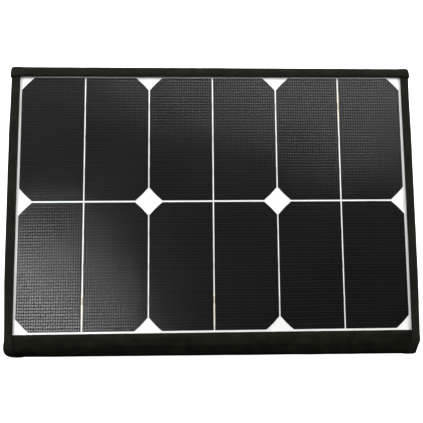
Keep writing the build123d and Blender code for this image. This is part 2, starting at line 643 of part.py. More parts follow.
def pocket_hem():
    """Elastic tape folded over the pocket's mouth."""
    (x0, x1), (_, y1) = POCKET_X, POCKET_Y
    z1 = B_BACK + POCKET_HEIGHT
    x0, x1 = x0 + POCKET_CLOTH, x1 - POCKET_CLOTH
    tape = block(x0, x1, y1 - HEM_WIDTH, y1 + POCKET_HEM, z1 - POCKET_CLOTH - POCKET_HEM, z1 + POCKET_HEM)
    return tape - block(x0 - 1, x1 + 1, y1 - HEM_WIDTH - 1, y1, z1 - POCKET_CLOTH, z1)


def closure():
    """Two foam spacers on B, with loop pads that meet the hook pads on A."""
    nodes = {}
    for node, z, thickness in (("spacers", B_BACK, SPACER_HEIGHT),
                               ("loop_pads", B_BACK + SPACER_HEIGHT, HOOK_THICKNESS),
                               ("hook_pads", A_BACK - HOOK_THICKNESS, HOOK_THICKNESS)):
        nodes[node] = both_sides(Pos(SPACER_X, SPACER_Y, z) * extrude(Rectangle(*SPACER_SIZE), thickness))
    return nodes


# ---------------------------------------------------------------- back shell, legs, handle
def tapered(x0, x1, y_axis, shoulder, taper, y_end, corner):
    """Outline in X and Y: straight from the hinge to the shoulder, then drawn in on both sides to a
    round-cornered end."""
    points = [(x0, y_axis), (x1, y_axis), (x1, y_axis - shoulder), (x1 - taper, y_end),
              (x0 + taper, y_end), (x0, y_axis - shoulder)]
    outline = make_face(Polyline(points, close=True))
    return fillet(outline.vertices().group_by(Axis.Y)[0], corner)


def knuckle(x0, x1, y_axis):
    """Round end about the pin."""
    return rod_x(LEG_THICKNESS / 2, x0, x1, y_axis, Z_AXIS)


def leg_outline(grow=0.0):
    return tapered(LEG_INNER - grow, LEG_OUTER + grow, LEG_AXIS_Y, LEG_SHOULDER, LEG_TAPER,
                   LEG_FOOT_Y - grow, LEG_CORNER + grow)


def leg_bays():
    """Shallow bays in a leg's outside that follow its taper, with ribs left between them."""
    inside = tapered(LEG_INNER + LEG_RIM, LEG_OUTER - LEG_RIM, LEG_AXIS_Y, LEG_SHOULDER, LEG_TAPER,
                     LEG_FOOT_Y, LEG_CORNER)
    y0, y1 = LEG_FOOT_Y + FOOT_SIZE[1] + LEG_RIM, LEG_AXIS_Y - LEG_RIM
    pitch = (y1 - y0 + LEG_RIB) / LEG_BAYS
    bays = []
    for n in range(LEG_BAYS):
        band = Pos(LEG_X, y0 + (n + 0.5) * pitch - LEG_RIB / 2) * Rectangle(2 * LEG_X, pitch - LEG_RIB)
        bays.append(Pos(0, 0, Z_LEG) * extrude(inside & band, BAY_DEPTH))
    return bays


def leg():
    """Right-hand leg with a seat for its rubber foot."""
    bar = Pos(0, 0, Z_LEG) * extrude(leg_outline(), LEG_THICKNESS) + knuckle(LEG_INNER, LEG_OUTER, LEG_AXIS_Y)
    bar -= rod_x(PIN_RADIUS + PIN_CLEAR, LEG_INNER - 1, LEG_OUTER + 1, LEG_AXIS_Y, Z_AXIS)
    return bar - leg_bays() - leg_foot_seat()


def leg_foot_seat():
    width, length, depth = FOOT_SIZE
    return Pos(LEG_X, LEG_FOOT_Y + length / 2, Z_LEG) * extrude(Rectangle(width, length), depth)


def leg_foot():
    """Rubber foot in the leg's tip, with grooves across it."""
    width, pitch, depth = FOOT_GROOVE
    foot = leg_foot_seat()
    for n in range(FOOT_GROOVES):
        y = LEG_FOOT_Y + FOOT_SIZE[1] / 2 + (n - (FOOT_GROOVES - 1) / 2) * pitch
        foot -= block(LEG_INNER, LEG_OUTER, y - width / 2, y + width / 2, Z_LEG, Z_LEG + depth)
    return foot


def leg_pin():
    return rod_x(PIN_RADIUS, LEG_INNER - PIN_BITE, LEG_OUTER + PIN_BITE, LEG_AXIS_Y, Z_AXIS)


def handle_outline(inset):
    """Bail's outline, drawn in by an inset on its sides and at its bar."""
    half = HANDLE_WIDTH / 2 - inset
    return tapered(-half, half, HANDLE_AXIS_Y, HANDLE_REACH / 3, HANDLE_TAPER, HANDLE_FAR + inset,
                   HANDLE_CORNER - inset / 2)


def handle():
    """Flat bail: two arms on pins, drawn in towards the bar between them."""
    half = HANDLE_WIDTH / 2
    bail = Pos(0, 0, Z_LEG) * extrude(handle_outline(0), LEG_THICKNESS) + knuckle(-half, half, HANDLE_AXIS_Y)
    inner = half - HANDLE_BAR
    bail -= extrude(handle_outline(HANDLE_BAR), SHELL_THICKNESS)
    bail -= block(-inner, inner, HANDLE_AXIS_Y - 1, HANDLE_AXIS_Y + LEG_THICKNESS, 0, SHELL_THICKNESS)
    bail -= rod_x(PIN_RADIUS + PIN_CLEAR, -half - 1, half + 1, HANDLE_AXIS_Y, Z_AXIS)
    return bail - (bar_under_grip() - bar_waist())


def bar_under_grip():
    """The stretch of the handle's bar that the grip goes round."""
    half = GRIP_LENGTH / 2
    return block(-half, half, HANDLE_FAR, HANDLE_FAR + HANDLE_BAR, Z_LEG, Z_LEG + LEG_THICKNESS)


def bar_waist():
    half = GRIP_LENGTH / 2
    return block(-half, half, HANDLE_FAR + GRIP_SIDE, HANDLE_FAR + HANDLE_BAR - GRIP_SIDE,
                 Z_LEG + GRIP_DEPTH, Z_LEG + LEG_THICKNESS - GRIP_DEPTH)


def handle_grip():
    """Moulded grip round the bar's waist, with shallow grooves between its finger ribs."""
    width, depth = GRIP_GROOVE
    grip = bar_under_grip() - bar_waist()
    for n in range(GRIP_RIBS):
        x = (n - (GRIP_RIBS - 1) / 2) * GRIP_LENGTH / GRIP_RIBS
        groove = Rectangle(width, HANDLE_BAR - 2 * GRIP_SIDE)
        grip -= Pos(x, HANDLE_FAR + HANDLE_BAR / 2, Z_LEG) * extrude(groove, depth)
    return grip


def handle_pins():
    """One pin through each arm into the plate's outer wall of the recess."""
    half = HANDLE_WIDTH / 2
    return both_sides(rod_x(PIN_RADIUS, half - HANDLE_BAR - 1, half + PART_CLEAR + PIN_BITE,
                            HANDLE_AXIS_Y, Z_AXIS))


def pin_sockets():
    """Square moulded holes that the pins' ends are pressed into."""
    sockets = []
    for pin in both_sides(leg_pin()) + handle_pins():
        low, high = pin.bounding_box().min, pin.bounding_box().max
        sockets.append(block(low.X, high.X, low.Y, high.Y, low.Z, high.Z))
    return sockets


def notch(x, y_end):
    """Room for a fingertip beyond the end of a leg or of the handle."""
    width, depth = FINGER_NOTCH
    return block(x - width / 2, x + width / 2, y_end - depth, y_end, 0, RECESS_CEILING)


def flutes():
    """Shallow grooves across the shell's underside that stiffen it between the legs."""
    width, length, depth = FLUTE_SIZE
    y = (HANDLE_FAR - FINGER_NOTCH[1] + LEG_FOOT_Y) / 2
    places = [y + (n - (FLUTES - 1) / 2) * FLUTE_PITCH for n in range(FLUTES)]
    return [Pos(0, at, 0) * extrude(Rectangle(width, length), depth) for at in places]


def back_shell():
    """Moulded plate under panel C with recesses, open downwards, for the legs and the handle."""
    plate = extrude(RectangleRounded(2 * SHELL_X, 2 * SHELL_Y, SHELL_CORNER), SHELL_THICKNESS)
    plate = chamfer(plate.faces().sort_by(Axis.Z)[0].edges(), SHELL_BEVEL)
    c = PART_CLEAR
    hinge_end = LEG_AXIS_Y + LEG_THICKNESS / 2 + c
    leg_room = extrude(leg_outline(c), RECESS_CEILING)
    leg_room += block(LEG_INNER - c, LEG_OUTER + c, LEG_AXIS_Y, hinge_end, 0, RECESS_CEILING)
    half = HANDLE_WIDTH / 2 + c
    handle_room = extrude(handle_outline(-c), RECESS_CEILING)
    handle_room += block(-half, half, HANDLE_AXIS_Y, SHELL_Y + 1, 0, RECESS_CEILING)
    plate -= both_sides(leg_room) + both_sides(notch(LEG_X, LEG_FOOT_Y))
    plate -= [handle_room, notch(0, HANDLE_FAR)] + flutes()
    return plate - pin_sockets()


# ---------------------------------------------------------------- the whole part
def everything():
    nodes = {}
    nodes.update(panel("a", PLACE_A, [(FRONT_FOLD, True, True)], FAR))
    nodes.update(panel("b", PLACE_B, [(FRONT_FOLD, False, True), (REAR_FOLD, True, False)], None))
    nodes.update(panel("c", PLACE_C, [(REAR_FOLD, False, False)], NEAR))
    nodes.update(spine("ab", FRONT_FOLD, FRONT_RIBBON_DEPTH))
    nodes.update(spine("bc", REAR_FOLD, REAR_RIBBON_DEPTH))
    nodes["foam_a"] -= lead_room()
    nodes["back_cover_a"] -= lead_room()
    nodes["controller_lead"] = controller_lead()
    for name, shape in controller_fixed().items():
        nodes[name] = placed(PLACE_CONTROLLER, shape)
    for name, y in BUTTON_PLACES.items():
        nodes[name] = PLACE_CONTROLLER * button(y)
    nodes["pocket"] = [pocket(), pocket_hem()]
    nodes.update(closure())
    nodes["back_shell"] = back_shell()
    nodes["hinge_pins"] = both_sides(leg_pin()) + handle_pins()
    for kind, shape in (("leg", leg()), ("leg_foot", leg_foot())):
        nodes[f"{kind}_right"], nodes[f"{kind}_left"] = both_sides(shape)
    nodes["handle"] = handle()
    nodes["handle_grip"] = handle_grip()
    return nodes


def solids_of(shape):
    """The solids of a shape or of a list of shapes."""
    shapes = shape if isinstance(shape, list) else [shape]
    return [solid for s in shapes for solid in s.solids()]


os.makedirs("parts", exist_ok=True)
for node_name, node_shape in everything().items():
    export_step(Compound(children=solids_of(node_shape), label=node_name), f"parts/{node_name}.step")
for label, the_fold in (("front fold", FRONT_FOLD), ("rear fold", REAR_FOLD)):
    axes = [tuple(round(v, 3) for v in the_fold.axis_point(top)) for top in (False, True)]
    print(label, "axes (y, z) mm:", axes)
print("leg axis", LEG_AXIS_Y, Z_AXIS, "handle axis", HANDLE_AXIS_Y, Z_AXIS, "faces", C_FACE, B_FACE, B_BACK,
      A_BACK, A_FACE)
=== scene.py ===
"""Looks for the folding solar suitcase: cloth, tape, stitching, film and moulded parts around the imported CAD.

The suitcase lies closed on its back shell with panel A's cells up. Lengths are in millimetres, and are turned
into Blender's metres by MM. The noise scales of the materials count per metre.
"""
from collections import namedtuple
from itertools import product
from math import asin, cos, degrees, dist, pi, radians, sin, sqrt, tan

import bmesh
import bpy
from mathutils import Matrix, Vector, noise


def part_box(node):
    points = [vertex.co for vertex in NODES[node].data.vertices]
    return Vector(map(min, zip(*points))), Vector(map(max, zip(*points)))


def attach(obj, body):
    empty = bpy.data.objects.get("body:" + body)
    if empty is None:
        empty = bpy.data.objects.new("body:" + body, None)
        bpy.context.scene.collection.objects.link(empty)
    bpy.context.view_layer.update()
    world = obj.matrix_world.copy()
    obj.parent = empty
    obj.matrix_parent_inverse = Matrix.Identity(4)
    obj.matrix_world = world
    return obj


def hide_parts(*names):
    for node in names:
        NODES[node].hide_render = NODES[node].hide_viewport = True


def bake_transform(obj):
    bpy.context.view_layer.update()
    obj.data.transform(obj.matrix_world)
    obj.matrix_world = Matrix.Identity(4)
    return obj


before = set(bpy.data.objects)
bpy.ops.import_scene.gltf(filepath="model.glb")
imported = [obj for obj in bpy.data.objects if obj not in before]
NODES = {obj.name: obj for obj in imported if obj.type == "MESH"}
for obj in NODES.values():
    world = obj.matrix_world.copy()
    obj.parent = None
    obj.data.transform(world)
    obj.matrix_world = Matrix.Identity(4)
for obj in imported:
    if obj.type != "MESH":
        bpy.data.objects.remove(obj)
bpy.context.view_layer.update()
MM = 0.001

# ------------ sizes shared with the CAD
WINDOW_X = 193.75  # half width of a panel's window
WINDOW_NEAR = 128.5  # the window's edges, from the cells' centre
WINDOW_FAR = 127.5
CLOTH = 0.6  # thickness of the cloth, and of the tape
TAPE = 0.8
EDGE_ROUND = 2.5  # rounding of a panel's sides
FRONT_RADIUS = 13.2  # cloth round the near fold
FRONT_TANGENT = 138.9  # where that fold starts, from the cells' centre
REAR_RADIUS = 6.5  # the same for the far fold
REAR_TANGENT = 136.6


def box_mm(node):
    """Lowest and highest corner of a CAD node, in millimetres."""
    return tuple(tuple(v / MM for v in corner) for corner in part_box(node))


BAG_X = box_mm("face_cover_a")[1][0]
CAP_X = box_mm("end_binding_a")[1][0]
BAG_Y = box_mm("back_cover_a")[1][1]
A_FACE = box_mm("face_cover_a")[1][2]
A_BACK = box_mm("back_cover_a")[0][2]
B_BACK = box_mm("back_cover_b")[1][2]
B_FACE = box_mm("face_cover_b")[0][2]
C_FACE = box_mm("face_cover_c")[1][2]
C_BACK = box_mm("back_cover_c")[0][2]
SLAB = A_FACE - A_BACK
CELL_TOP = box_mm("cells_a")[1][2]


# ------------ materials
class Nodes:
    """Short way to build one material's node tree."""

    def __init__(self, name):
        self.material = bpy.data.materials.new(name)
        self.material.use_nodes = True
        self.tree = self.material.node_tree
        self.shader = self.tree.nodes["Principled BSDF"]

    def add(self, kind, links=(), **values):
        node = self.tree.nodes.new("ShaderNode" + kind)
        for key, value in values.items():
            setattr(node, key, value)
        for socket, source in links:
            if hasattr(source, "links"):
                self.tree.links.new(source, node.inputs[socket])
            else:
                node.inputs[socket].default_value = source
        return node

    def set(self, **values):
        for key, value in values.items():
            self.shader.inputs[key.replace("_", " ")].default_value = value

    def link(self, output, socket):
        self.tree.links.new(output, self.shader.inputs[socket])

    def place(self, kind="Object"):
        return self.add("TexCoord").outputs[kind]

    def split(self, vector):
        return self.add("SeparateXYZ", [(0, vector)]).outputs

    def math(self, operation, a, b=0.0):
        return self.add("Math", [(0, a), (1, b)], operation=operation).outputs[0]

    def times(self, a, b):
        return self.math("MULTIPLY", a, b)

    def off(self, value, middle):
        return self.math("ABSOLUTE", self.math("SUBTRACT", value, middle))

    def noise(self, vector, scale, detail=2.0, rough=0.5):
        return self.add("TexNoise", [("Vector", vector), ("Scale", scale), ("Detail", detail),
                                     ("Roughness", rough)]).outputs["Fac"]

    def remap(self, value, low, high, to_low, to_high):
        return self.add("MapRange", enumerate((value, low, high, to_low, to_high))).outputs[0]

    def mix(self, fac, a, b):
        return self.add("Mix", [(0, fac), (6, a), (7, b)], data_type="RGBA").outputs[2]

    def mottle(self, fac, low, high, dark, light):
        return self.mix(self.remap(fac, low, high, 0.0, 1.0), colour(*dark), colour(*light))

    def bump(self, height, strength, distance, normal=None):
        links = [("Height", height), ("Strength", strength), ("Distance", distance)]
        if normal:
            links.append(("Normal", normal))
        return self.add("Bump", links).outputs[0]


def colour(r, g, b):
    """An opaque colour, as a socket takes it."""
    return (r, g, b, 1.0)


BLOTCH_SCALE, FUZZ_SCALE, LUMP_SCALE = 70.0, 1400.0, 260.0  # wear, loose fibres and lumps of a cloth
LUMP_HEIGHT = 0.25


def fabric(name, dark, light, thread=0.55, rib=0.0, depth=0.12, gloss=0.03, sheen=0.02):
    """Woven cloth or tape with blotchy wear: threads of width thread and height depth that cross along its
    UVs, which are in metres. With a rib, a share of warp lies over a weft of double width."""
    m = Nodes(name)
    uv = m.add("UVMap").outputs[0]
    along, across, _ = m.split(uv)
    turns = 2 * pi / (thread * MM)
    warp = m.math("SINE", m.times(along, turns))
    weft = m.math("SINE", m.times(across, turns * (0.5 if rib else 1.0)))
    weave = m.math("ADD", m.times(warp, rib), weft) if rib else m.times(warp, weft)
    blotch = m.noise(uv, BLOTCH_SCALE, 4.0, 0.6)
    fuzz = m.noise(uv, FUZZ_SCALE, 2.0, 0.7)
    tone = m.math("ADD", m.remap(blotch, 0.35, 0.65, 0.0, 0.75), m.remap(fuzz, 0.3, 0.7, -0.25, 0.25))
    m.link(m.mix(tone, colour(*dark), colour(*light)), "Base Color")
    m.link(m.remap(blotch, 0.3, 0.7, 0.78, 0.95), "Roughness")
    lumps = m.bump(m.noise(uv, LUMP_SCALE, 3.0), 0.5, LUMP_HEIGHT * MM)
    m.link(m.bump(weave, 0.6, depth * MM, lumps), "Normal")
    m.set(Sheen_Weight=sheen, Sheen_Roughness=0.5, Specular_IOR_Level=gloss)
    return m.material


WEAR_SCALE = 30.0
WORN = 0.75  # share of the colour that is left where it is worn


def moulded(name, base, rough=0.5, grain=0.02, scale=900.0, gloss=0.5):
    """Moulded plastic or rubber with a fine spark-eroded grain of the given height and scale."""
    m = Nodes(name)
    place = m.place()
    wear = m.noise(place, WEAR_SCALE, 4.0)
    m.link(m.mottle(wear, 0.35, 0.65, [v * WORN for v in base], base), "Base Color")
    m.link(m.remap(wear, 0.3, 0.7, rough - 0.06, rough + 0.1), "Roughness")
    m.link(m.bump(m.noise(place, scale, 3.0, 0.6), 0.5, grain * MM), "Normal")
    m.set(Specular_IOR_Level=gloss)
    return m.material


DIMPLE_X, DIMPLE_Y = 2.35, 2.9  # pitch of the film's dimples
DIMPLE_HEIGHT = 0.14
DIMPLE_GROOVE = (0.15, 0.5)  # where the dull groove round a dome starts and where it is dullest
DIMPLE_DIM_ROW = 0.83  # every second row of domes is less clear
HAZE_FALL = 3.0  # the milky spot on a dome is this much tighter than its clear part
DRIFT_SCALE, DRIFT = 16.0, 1.1  # how the rows of dimples wander
GRIT_SCALE, GRIT = 420.0, 0.06  # unevenness of the domes, as a share of their height
CELL_SCALE, BOARD_SCALE = 18.0, 25.0  # unevenness of their colours
SWELL_SCALE, SWELL = 11.0, 2.5  # slow waves of the whole film
COLUMN_PITCH = 64.1  # from one gap between half cells to the next
ROW_LENGTH = 126.0  # from the middle of the row gap to the cells' ends
GAP_HALF, ROW_GAP_HALF = 0.82, 1.02  # half width of a gap in a row, and of the gap between the rows
BRIGHT_HALF, ROW_BRIGHT_HALF = 0.52, 0.68  # half width of its middle, which gets no painted shade
CELLS_REACH = (191.0, 125.9)  # how far from the panel's middle the gaps run
TRIMMED_CORNER = 13.0  # leg of the corner cut off a wafer, up to the middle of the gap
GOLD_SPOTS = ((-128.2, -106.0), (0.0, -106.0), (128.2, 95.0))  # where a gap is tinted gold
GOLD_REACH = (2.0, 19.0)  # half size of such a spot, across and along
GOLD_FULL = (1.0, 11.4)  # and of the part of it that has its full tone


def film_dimples(m):
    """Place on the panel, and the film's clearness and normal there: rows of small, slightly uneven domes."""
    place = m.place()
    drift = m.add("TexNoise", [("Vector", place), ("Scale", DRIFT_SCALE), ("Detail", 1.0)]).outputs["Color"]
    size = (DRIFT * MM, DRIFT * MM, 0.0)
    shift = m.add("VectorMath", [(0, drift), (1, size)], operation="MULTIPLY").outputs[0]
    moved = m.split(m.add("VectorMath", [(0, place), (1, shift)], operation="ADD").outputs[0])
    squares = []
    for socket, pitch in enumerate((DIMPLE_X, DIMPLE_Y)):
        turns = m.math("FRACT", m.math("DIVIDE", moved[socket], pitch * MM))
        off_centre = m.math("SUBTRACT", m.times(turns, 2.0), 1.0)
        squares.append(m.times(off_centre, off_centre))
    domes = m.math("SUBTRACT", 1.0, m.times(m.math("ADD", *squares), 0.5))
    height = m.math("ADD", domes, m.times(m.noise(place, GRIT_SCALE, 2.0), GRIT))
    dome_clear = m.remap(m.math("MAXIMUM", *squares), *DIMPLE_GROOVE, 1.0, 0.0)
    row = m.math("PINGPONG", m.math("ADD", m.math("DIVIDE", moved[1], DIMPLE_Y * MM), 0.5), 1.0)
    clear = m.times(dome_clear, m.remap(row, 0.0, 1.0, DIMPLE_DIM_ROW, 1.0))
    swell = m.bump(m.noise(place, SWELL_SCALE, 2.0), 0.5, SWELL * MM)
    return place, clear, m.bump(height, 1.0, DIMPLE_HEIGHT * MM, swell)


def gold_tint(m, place, plain, gold):
    """Gold tint at three spots in the gaps between half cells."""
    here = m.split(place)
    total = 0.0
    for spot in GOLD_SPOTS:
        tones = [(m.off(here[axis], spot[axis] * MM), GOLD_FULL[axis], GOLD_REACH[axis]) for axis in (0, 1)]
        tones = [m.remap(far, full * MM, reach * MM, 1.0, 0.0) for far, full, reach in tones]
        total = m.math("ADD", total, m.times(*tones))
    return m.mix(m.math("MINIMUM", total, 1.0), plain, gold)


def gap_masks(m, place):
    """Two masks of the gaps between half cells: their bright middles, and their sides, which get painted shade
    for the shade of the cells' edges. There is no painted shade in the trimmed corners and on the margin."""
    here = m.split(place)
    x, y = [m.math("ABSOLUTE", here[axis]) for axis in (0, 1)]
    turns = m.math("DIVIDE", x, COLUMN_PITCH * MM)
    off_gap = m.off(turns, m.math("ROUND", turns))
    gap, bright = [m.math("MAXIMUM", m.math("LESS_THAN", off_gap, column / COLUMN_PITCH),
                          m.math("LESS_THAN", y, row * MM))
                   for column, row in ((GAP_HALF, ROW_GAP_HALF), (BRIGHT_HALF, ROW_BRIGHT_HALF))]
    from_wafer = m.math("PINGPONG", m.math("ADD", x, COLUMN_PITCH * MM), COLUMN_PITCH * MM)
    from_row = m.math("PINGPONG", y, ROW_LENGTH / 2 * MM)
    narrow = m.math("GREATER_THAN", m.math("ADD", from_wafer, from_row), TRIMMED_CORNER * MM)
    among = m.times(*(m.math("LESS_THAN", d, reach * MM) for d, reach in zip((x, y), CELLS_REACH)))
    sides = m.math("SUBTRACT", gap, bright)
    return bright, m.times(sides, m.times(narrow, among))


def cell_material():
    """Black silicon under the dimpled film. The solder links are bright in the gaps' middles, with painted
    shade on their sides, and a few spots are tinted gold.
    """
    m = Nodes("cell")
    place, clear, normal = film_dimples(m)
    tone = m.noise(place, CELL_SCALE, 3.0)
    silicon = m.mottle(tone, 0.35, 0.65, (0.0009, 0.0010, 0.0012), (0.0022, 0.0023, 0.0023))
    hazy = m.mix(m.math("POWER", clear, HAZE_FALL), silicon, colour(0.0180, 0.0180, 0.0169))
    bright, _ = gap_masks(m, place)
    solder = gold_tint(m, place, colour(0.82, 0.82, 0.80), colour(0.80, 0.72, 0.52))
    # painted shade: outside a gap's bright middle the solder links take the cells' dark colour, for the shade
    # of the cells' edges
    m.link(m.mix(bright, hazy, solder), "Base Color")
    m.set(Roughness=0.4, Specular_IOR_Level=0.05, Coat_Roughness=0.06, Coat_IOR=1.42)
    m.link(m.remap(clear, 0.0, 1.0, 0.1, 1.0), "Coat Weight")
    m.link(normal, "Coat Normal")
    m.link(normal, "Normal")
    return m.material


def board_material():
    """White board seen through the dimpled film, with painted shade of the cells' edges on the sides of the
    narrow gaps.
    """
    m = Nodes("white_board")
    place, _, normal = film_dimples(m)
    tone = m.noise(place, BOARD_SCALE, 3.0)
    _, painted_shade = gap_masks(m, place)
    white = m.mottle(tone, 0.3, 0.7, (0.87, 0.87, 0.85), (0.93, 0.93, 0.915))
    # painted shade: the sides of each gap are dark grey, for the shade of the cells' edges and links
    white = m.mix(painted_shade, white, colour(0.10, 0.10, 0.10))
    m.link(gold_tint(m, place, white, colour(0.82, 0.76, 0.60)), "Base Color")
    m.set(Roughness=0.5, Coat_Weight=0.5, Coat_Roughness=0.2)
    m.link(normal, "Coat Normal")
    return m.material


def film_material():
    """Clear film. The cells and the board under it carry its dimples."""
    m = Nodes("film")
    m.set(Base_Color=colour(0.45, 0.45, 0.45), Roughness=0.3, Specular_IOR_Level=0.2, Alpha=0.002)
    return m.material


SCRATCH_SCALE, SCRATCH = 2500.0, 0.01


def steel():
    """Drawn steel with fine scratches."""
    m = Nodes("steel")
    m.set(Base_Color=colour(0.62, 0.62, 0.61), Metallic=1.0, Roughness=0.28)
    m.link(m.bump(m.noise(m.place(), SCRATCH_SCALE, 2.0), 0.3, SCRATCH * MM), "Normal")
    return m.material


LCD_HALF = (0.455, 0.40)  # half size of the display's face inside its frame, as a share of the whole


def display_face():
    """A blank liquid crystal face inside a dark printed frame."""
    m = Nodes("display")
    here = m.split(m.place("Generated"))
    sides = [m.off(here[axis], 0.5) for axis in (0, 1)]
    framed = m.math("MAXIMUM", *(m.math("GREATER_THAN", side, half) for side, half in zip(sides, LCD_HALF)))
    m.link(m.mix(framed, colour(0.30, 0.35, 0.28), colour(0.02, 0.02, 0.02)), "Base Color")
    m.set(Roughness=0.35)
    return m.material


def window_clear():
    """Clear plastic over the display."""
    m = Nodes("display_window")
    m.set(Base_Color=colour(0.9, 0.95, 0.95), Roughness=0.06, Alpha=0.18)
    return m.material


CLOTH_FACE = fabric("cloth", (0.0062, 0.0068, 0.0042), (0.0152, 0.0163, 0.0104), gloss=0.01, sheen=0.0)
TAPE_CLOTH = fabric("tape", (0.0072, 0.0075, 0.0050), (0.0172, 0.0178, 0.0122), thread=0.7, rib=0.4)
CLOTH_BACK = fabric("back_cloth", (0.012, 0.012, 0.0105), (0.021, 0.021, 0.019), thread=0.8)
POCKET_CLOTH = fabric("pocket_cloth", (0.012, 0.012, 0.011), (0.024, 0.024, 0.022), thread=0.7)
HOOK = fabric("hook_tape", (0.006, 0.006, 0.006), (0.014, 0.014, 0.014), thread=1.1, depth=0.5)
LOOP = fabric("loop_tape", (0.010, 0.010, 0.010), (0.024, 0.024, 0.023), thread=0.45, depth=0.35)
THREAD = moulded("thread", (0.013, 0.0135, 0.0105), 0.7, 0.01, gloss=0.1)
BLACK_CASE = moulded("case", (0.018, 0.018, 0.019), 0.45)
SHELL_GREY = moulded("shell", (0.022, 0.022, 0.021), 0.5, 0.05, 1300.0)
LEG_GREY = moulded("leg", (0.035, 0.035, 0.034), 0.48, 0.04, 1300.0)
RUBBER = moulded("rubber", (0.012, 0.012, 0.012), 0.75)
KEY_GREY = moulded("key", (0.30, 0.31, 0.31), 0.6)
TERMINAL_GREEN = moulded("terminal", (0.03, 0.18, 0.07), 0.45)
BOARD_GREEN = moulded("circuit", (0.01, 0.09, 0.04), 0.4)
CABLE = moulded("cable", (0.012, 0.012, 0.013), 0.5)
STIFFENER = moulded("stiffener", (0.02, 0.02, 0.019), 0.7, gloss=0.2)
FOAM = moulded("foam", (0.05, 0.05, 0.05), 0.9, 0.2, 500.0)
STEEL = steel()
NODE_MATERIALS = {  # for a node, or for a node of each panel without its last letter
    "cells": cell_material(), "front_sheet": film_material(), "board": board_material(), "foam": FOAM,
    "junction": BLACK_CASE, "controller_lead": CABLE, "controller_base": BLACK_CASE,
    "controller_cover": BLACK_CASE, "circuit_board": BOARD_GREEN, "display": display_face(),
    "display_window": window_clear(), "terminal_block": TERMINAL_GREEN, "usb_sockets": STEEL,
    "button_menu": KEY_GREY, "button_load": KEY_GREY, "back_shell": SHELL_GREY, "hinge_pins": STEEL,
    "leg_left": LEG_GREY, "leg_right": LEG_GREY, "leg_foot_left": RUBBER, "leg_foot_right": RUBBER,
    "handle": LEG_GREY, "handle_grip": RUBBER,
}
FILM_GAP = 0.03  # keeps the clear film's faces off those of the cells


def dress_cad():
    """Gives each CAD node that stays its material."""
    for name, obj in NODES.items():
        family, _, panel = name.rpartition("_")
        if panel not in ("a", "b", "c"):
            family = name
        if family in NODE_MATERIALS:
            obj.data.materials.clear()
            obj.data.materials.append(NODE_MATERIALS[family])
        if family == "front_sheet":
            shrink = obj.modifiers.new("off_the_cells", "DISPLACE")
            shrink.strength, shrink.mid_level = -FILM_GAP * MM, 0.0


# ------------ mesh helpers
def make_object(name, verts, faces, material, uvs=None):
    """New smooth mesh object. verts are in millimetres, and so are uvs, with one (u, v) for each vertex."""
    mesh = bpy.data.meshes.new(name)
    mesh.from_pydata([tuple(c * MM for c in v) for v in verts], [], faces)
    mesh.validate()
    if uvs:
        layer = mesh.uv_layers.new(name="UVMap")
        for loop in mesh.loops:
            u, v = uvs[loop.vertex_index]
            layer.data[loop.index].uv = (u * MM, v * MM)
    for polygon in mesh.polygons:
        polygon.use_smooth = True
    mesh.materials.append(material)
    bm = bmesh.new()
    bm.from_mesh(mesh)
    bmesh.ops.recalc_face_normals(bm, faces=bm.faces)
    bm.to_mesh(mesh)
    bm.free()
    obj = bpy.data.objects.new(name, mesh)
    bpy.context.collection.objects.link(obj)
    return obj


def ring_faces(count, rings, first=0):
    """Quads between each ring of count vertices and the next. first is the first ring's first vertex."""
    return [(a + j, a + (j + 1) % count, a + (j + 1) % count + count, a + j + count)
            for a in range(first, first + (rings - 1) * count, count) for j in range(count)]


def loft(name, rows, uvs, material):
    """Closed skin over rows of points that each go once round a closed outline, with both ends filled."""
    count = len(rows[0])
    verts = [v for row in rows for v in row]
    ends = [tuple(range(count - 1, -1, -1)), tuple(range(len(verts) - count, len(verts)))]
    return make_object(name, verts, ring_faces(count, len(rows)) + ends, material, uvs)


def lengths_along(points):
    """Distance from the first point to each one, along the line through them."""
    total, found = 0.0, [0.0]
    for last, here in zip(points, points[1:]):
        total += dist(last, here)
        found.append(total)
    return found


class Route:
    """Line in the YZ plane through points (y, z, corner radius), sampled as stations, which are
    (y, z, inward normal y, z, distance along). A depth counts inwards, to the left of the way along the line
    when inward is 1 and to the right when it is -1."""

    def __init__(self, points, inward, step, arc_step):
        self.inward = inward
        self.stations = []
        self.length = 0.0
        start = Vector(points[0][:2])
        for i in range(1, len(points) - 1):
            y, z, radius = points[i]
            corner = Vector((y, z))
            back = (Vector(points[i - 1][:2]) - corner).normalized()
            on = (Vector(points[i + 1][:2]) - corner).normalized()
            cross = back.x * on.y - back.y * on.x
            half = back.angle(on) / 2
            centre = corner + (back + on).normalized() * (radius / sin(half))
            begin = corner + back * (radius / tan(half))
            self._straight(start, begin, step)
            start = self._arc(centre, begin - centre, cross, pi - 2 * half, arc_step)
        self._straight(start, Vector(points[-1][:2]), step)

    def _station(self, point, tangent, advance):
        self.length += advance
        normal = Vector((-tangent.y, tangent.x)) * self.inward
        self.stations.append((point.x, point.y, normal.x, normal.y, self.length))

    def _straight(self, start, end, step):
        span = (end - start).length
        if span < 1e-6:
            return
        tangent = (end - start) / span
        count = max(1, round(span / step))
        if not self.stations:
            self._station(start, tangent, 0.0)
        for k in range(1, count + 1):
            self._station(start + tangent * (span * k / count), tangent, span / count)

    def _arc(self, centre, spoke, cross, turn, arc_step):
        """Stations round a corner. A negative cross product of its two directions means a left-hand turn."""
        sign = 1 if cross < 0 else -1
        count = max(2, round(degrees(turn) / arc_step))
        for k in range(1, count + 1):
            angle = sign * turn * k / count
            here = Vector((spoke.x * cos(angle) - spoke.y * sin(angle),
                           spoke.x * sin(angle) + spoke.y * cos(angle)))
            tangent = Vector((-here.y, here.x)).normalized() * sign
            self._station(centre + here, tangent, spoke.length * turn / count)
        return centre + here

    def at(self, s):
        """(y, z, inward normal y, z) at a distance along."""
        for low, high in zip(self.stations, self.stations[1:]):
            if s <= high[4]:
                break
        t = (s - low[4]) / (high[4] - low[4])
        return tuple(a + (b - a) * t for a, b in zip(low[:4], high[:4]))


